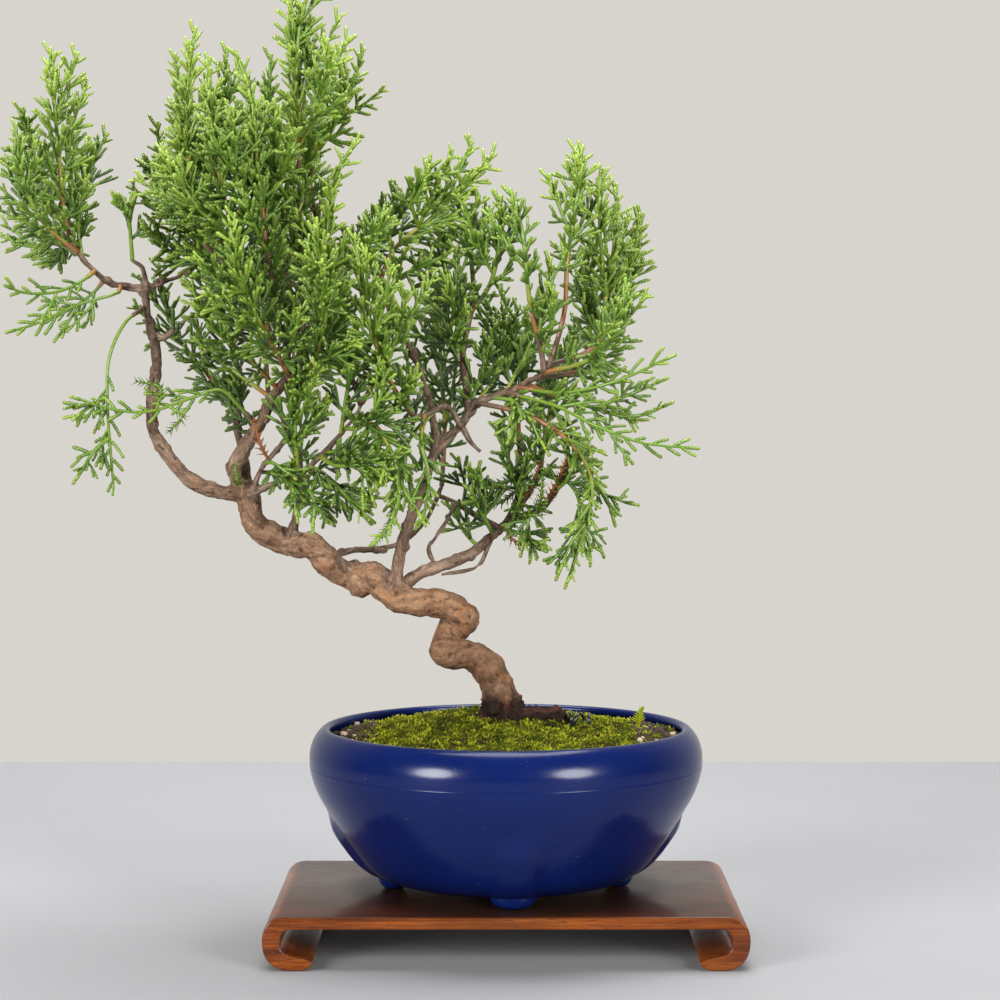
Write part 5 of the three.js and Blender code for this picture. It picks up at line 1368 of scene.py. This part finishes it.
leafy = Finish("scale_leaves", Roughness=0.34, Specular_IOR_Level=0.5)
age, tone = leaf_place(leafy)
old_leaf = leafy.graded(tone, (0.0, (0.037, 0.084, 0.009)), (0.3, (0.096, 0.186, 0.018)),
                        (0.55, (0.198, 0.306, 0.034)), (0.8, (0.3, 0.405, 0.06)))
young_leaf = leafy.graded(tone, (0.0, (0.082, 0.148, 0.012)), (0.3, (0.185, 0.276, 0.028)),
                          (0.55, (0.27, 0.375, 0.045)), (0.8, (0.36, 0.455, 0.075)))
beads = leafy.maths("PINGPONG", age * CORD_AGE, 0.5) * 2
leaf_colour = leafy.blend(leafy.held(age, 0.68, 0.98), old_leaf, young_leaf)
leaf_colour = leafy.blend(beads * 0.4, leaf_colour, old_leaf)
stem_colour = leafy.graded(age, (0.05, (0.12, 0.066, 0.04)), (0.2, (0.27, 0.1, 0.035)),
                           (0.36, (0.28, 0.125, 0.028)), (0.46, (0.25, 0.23, 0.028)),
                           (0.6, (0.15, 0.23, 0.02)), (0.95, (0.11, 0.21, 0.017)))
leaf_colour = leafy.blend(leafy.held(tone, STEM_BAND - 0.04, STEM_BAND - 0.02), leaf_colour,
                          stem_colour)
scale_leaves = leafy.finished(leaf_colour, None, beads, 0.12)
# The dark and bright foliage are painted shade and painted light on the one green.
GREEN_SLOTS = ["foliage_dark", "foliage_mid", "foliage_bright"]

# Each stem is bare from its limb to where the node begins, and carries its leaves from there.
bare = bmesh.new()
bare_ages = bare.verts.layers.float.new("age")
for index, (name, limb, share, width, green, points) in enumerate(SPRAYS):
    route = spray_route(name, limb, share, points)
    limb_routes[name] = route
    leafless = min((corner - route[0]).length for corner in node_corners(name)) / MM
    bare_steps = max(1, min(round(leafless / ROUTE_STEP), len(route) // 3))
    leafy_length = (len(route) - bare_steps) * ROUTE_STEP
    girth = min(1, 0.45 + len(route) / 44)
    bare_radii = even_radii([0.95 * girth, 0.8 * girth], bare_steps + 2)
    for vert in grown(bare, route[:bare_steps + 2], bare_radii, 8):
        from_leaves = (vert.co - route[bare_steps + 1]).length / MM
        vert[bare_ages] = 1 - (leafy_length + from_leaves) / STEM_AGE
    spray = bmesh.new()
    draw = draws(1000 + index * 77)
    if name in FEATHERS:
        feather(spray, route[bare_steps:], 0.65, green, draw, FEATHERS[name])
    else:
        leafy_route = route[bare_steps:len(route) - TIP_CUTS.get(name, TIP_CUT)]
        first = round(LATE_SPRAYS.get(name, 0) * len(leafy_route))
        plume(spray, leafy_route, 0.85 * girth, width, green, draw, first, 5)
    drawn_in(spray, route[bare_steps])
    fitted("leafy_" + name, spray, scale_leaves, GREEN_SLOTS[green], "spray_" + name)

coloured(bare, lambda vert: vert[bare_ages], STEM_BAND)
fitted("bare_stems", bare, scale_leaves, "bark")

for index, (host, share, width, green, points) in enumerate(FILL):
    points_seen = [seen(*point) for point in points]
    route = curve_through([limb_spot(host, share), *points_seen], ROUTE_STEP * MM)
    shoot = bmesh.new()
    plume(shoot, route, 0.75, width, green, draws(9000 + index * 77), 2, 6)
    drawn_in(shoot, route[0])
    fitted(f"leafy_between_{index + 1}", shoot, scale_leaves, GREEN_SLOTS[green])

# Prickly shoots
# Young shoots low in the tree still have sharp needles in threes, green, or dry and rust-brown.
# Each row has the limb or stem it springs from, how far along it, its colour and its points.
NEEDLE_LENGTH = 3.4
PRICKLY_STEP = 1.3
PRICKLY = [
    ("long_thin_shoot", 0.62, "green", [(-118.3, 189.5, -27), (-126, 191.8, -30)]),
    ("long_thin_shoot", 0.56, "green", [(-111, 180, -24), (-114.9, 175, -26)]),
    ("right_limb", 0.9, "green", [(-2, 157, 10), (-10.5, 157.8, 8)]),
    ("right_limb", 0.84, "green", [(-3, 150, 8), (-10.9, 151.2, 5)]),
    ("right_limb", 0.7, "green", [(6, 146, 2), (12, 146, -2)]),
    ("right_limb", 0.72, "green", [(4, 149, 0), (6, 156, -6)]),
    ("right_limb", 0.62, "dry", [(3, 137, 7), (8, 135.5, 6)]),
    ("right_fork", 0.35, "dry", [(9, 156.3, 2), (11.7, 163.8, -2)]),
    ("right_twig", 0.4, "dry", [(17.8, 158, -6), (21.3, 166.5, -10)]),
    ("right_twig", 0.3, "green", [(12, 152, -4), (12.6, 160, -8)]),
    ("upright_limb", 0.36, "green", [(-38.6, 150, -12), (-39.5, 144, -13), (-45, 136, -14)]),
    ("middle_limb", 0.06, "green", [(-92, 158, -9), (-93, 163, -12)]),
    ("front_twig", 0.3, "green", [(-72, 168, -16), (-70, 174, -20)]),
    ("front_twig", 0.42, "green", [(-62, 158, -16), (-56, 154, -20)]),
    ("red_twig", 0.3, "dry", [(-84, 170, -14), (-86, 178, -18)]),
]


def whorl_mesh(band, foot_age, tip_age):
    """Three needles leaving a stem that runs up z."""
    bm = bmesh.new()
    for needle in range(3):
        turn = Matrix.Rotation(needle * math.tau / 3, 4, "Z") @ Matrix.Rotation(0.85, 4, "Y")
        bmesh.ops.create_cone(bm, segments=4, radius1=0.36 * MM, radius2=0.04 * MM,
                              depth=NEEDLE_LENGTH * MM, cap_ends=True,
                              matrix=turn @ Matrix.Translation((0, 0, NEEDLE_LENGTH / 2 * MM)))
    ages = bm.verts.layers.float.new("age")
    for vert in bm.verts:
        along = min(1, vert.co.length / MM / NEEDLE_LENGTH)
        vert[ages] = foot_age + (tip_age - foot_age) * along
    coloured(bm, lambda vert: vert[ages], band)
    return shaped("whorl", bm)


whorls = {"green": whorl_mesh(0.16, 0.5, 0.86), "dry": whorl_mesh(STEM_BAND, 0.2, 0.34)}
prickly = bmesh.new()
for host, share, kind, points in PRICKLY:
    points_seen = [seen(*point) for point in points]
    route = curve_through([limb_spot(host, share), *points_seen], PRICKLY_STEP * MM)
    stem = bmesh.new()
    stem_age = 0.6 if kind == "green" else 0.22
    grown(stem, route, even_radii([0.6, 0.4], len(route)), 6, pointed=True)
    coloured(stem, lambda vert: stem_age, STEM_BAND)
    joined(prickly, "prickly_stem", stem)
    for step in range(2, len(route)):
        way = (route[step] - route[step - 1]).normalized()
        turn = aimed(way) @ Matrix.Rotation(step * 1.05, 4, "Z")
        scale = Matrix.Scale(1.15 - 0.45 * step / len(route), 4)
        placed(prickly, whorls[kind], Matrix.Translation(route[step]) @ turn @ scale)
fitted("prickly_shoots", prickly, scale_leaves, "foliage_mid")

# Wire
# A few turns of black annealed wire left round the end of the surface root.
WIRE_THICKNESS = 1.1
WIRE_TURNS = 3
TURN_STEPS = 14
wire_route = []
for step in range(WIRE_TURNS * TURN_STEPS + 1):
    turn = step / TURN_STEPS * math.tau
    share = step / (WIRE_TURNS * TURN_STEPS)
    wire_route.append(seen(19.5 + 9 * share + 1.2 * math.sin(turn * 0.5),
                           75.6 - 0.8 * share + 2.7 * math.cos(turn), -5 + 3 * math.sin(turn)))
wire = bmesh.new()
grown(wire, wire_route, [WIRE_THICKNESS / 2 * MM] * len(wire_route), 8)
wire_black = Finish("wire_black", Roughness=0.22)
wire_wear = wire_black.cloud(wire_black.place(), 1.5)
wire_colour = wire_black.blend(wire_wear, (0.006, 0.007, 0.009), (0.02, 0.022, 0.026))
fitted("root_wire", wire, wire_black.finished(wire_colour), "net_plastic")

# Twigs
# The twigs that the shoots above spring from, too fine to be fused with the limbs, in the same
# bark as the trunk.
fibrous(twigs)
fitted("twigs", twigs, barked.material, "bark")

# Light and ground
# A plain pale table top and soft light: two softboxes in front, one overhead, a pale room. The
# camera sees the room as one even wall, but its light comes from behind the tree.
TABLE_HALF = (1.6, 0.95)
TABLE_MIDDLE = (POT_X, -0.53, -0.0002)
TREE_MIDDLE = Vector((POT_X - 0.03, 0, 0.16))
table = bmesh.new()
bmesh.ops.create_grid(table, x_segments=1, y_segments=1, size=1)
bmesh.ops.transform(table, verts=table.verts, matrix=Matrix.Translation(TABLE_MIDDLE)
                    @ Matrix.Diagonal((*TABLE_HALF, 1, 1)))
table_mesh = shaped("table", table)
laminate = Finish("pale_table", Roughness=0.7, Specular_IOR_Level=0.12)
table_colour = laminate.blend(laminate.cloud(laminate.place(), 60), (0.278, 0.278, 0.288),
                              (0.296, 0.296, 0.306))
table_mesh.materials.append(laminate.finished(table_colour))
table_top = bpy.data.objects.new("table", table_mesh)
bpy.context.scene.collection.objects.link(table_top)


def softbox(name, azimuth, rise, distance, size, power):
    """A round soft light aimed at the tree's middle."""
    light = bpy.data.objects.new(name, bpy.data.lights.new(name, "AREA"))
    light.data.shape = "DISK"
    light.data.size = size
    light.data.energy = power
    turn = Matrix.Rotation(math.radians(azimuth), 3, "Z")
    out = turn @ Vector((0, -math.cos(math.radians(rise)), math.sin(math.radians(rise))))
    light.location = TREE_MIDDLE + out * distance
    light.rotation_euler = out.to_track_quat("Z", "Y").to_euler()
    bpy.context.scene.collection.objects.link(light)


softbox("softbox_left", azimuth=-42, rise=14, distance=2.6, size=1, power=84)
softbox("softbox_right", azimuth=40, rise=14, distance=2.6, size=1, power=68)
softbox("softbox_top", azimuth=175, rise=82, distance=1.3, size=1.2, power=37)
room = bpy.data.worlds.new("pale_room")
room.use_nodes = True
room_nodes = room.node_tree.nodes
room_links = room.node_tree.links
wall = room_nodes["Background"]
wall.inputs["Color"].default_value = (0.68, 0.66, 0.61, 1)
room_light = room_nodes.new("ShaderNodeBackground")
direction = room_nodes.new("ShaderNodeTexCoord")
backward = room_nodes.new("ShaderNodeSeparateXYZ")
brightness = room_nodes.new("ShaderNodeValToRGB")
brightness.color_ramp.elements[0].color = (0.08, 0.08, 0.08, 1)
brightness.color_ramp.elements[1].position = 0.6
brightness.color_ramp.elements[1].color = (0.6, 0.59, 0.56, 1)
room_links.new(direction.outputs["Generated"], backward.inputs[0])
room_links.new(backward.outputs[1], brightness.inputs[0])
room_links.new(brightness.outputs[0], room_light.inputs["Color"])
path = room_nodes.new("ShaderNodeLightPath")
either = room_nodes.new("ShaderNodeMixShader")
room_links.new(path.outputs["Is Camera Ray"], either.inputs[0])
room_links.new(room_light.outputs[0], either.inputs[1])
room_links.new(wall.outputs[0], either.inputs[2])
room_links.new(either.outputs[0], room_nodes["World Output"].inputs[0])
bpy.context.scene.world = room
bpy.context.scene.view_settings.view_transform = "Standard"
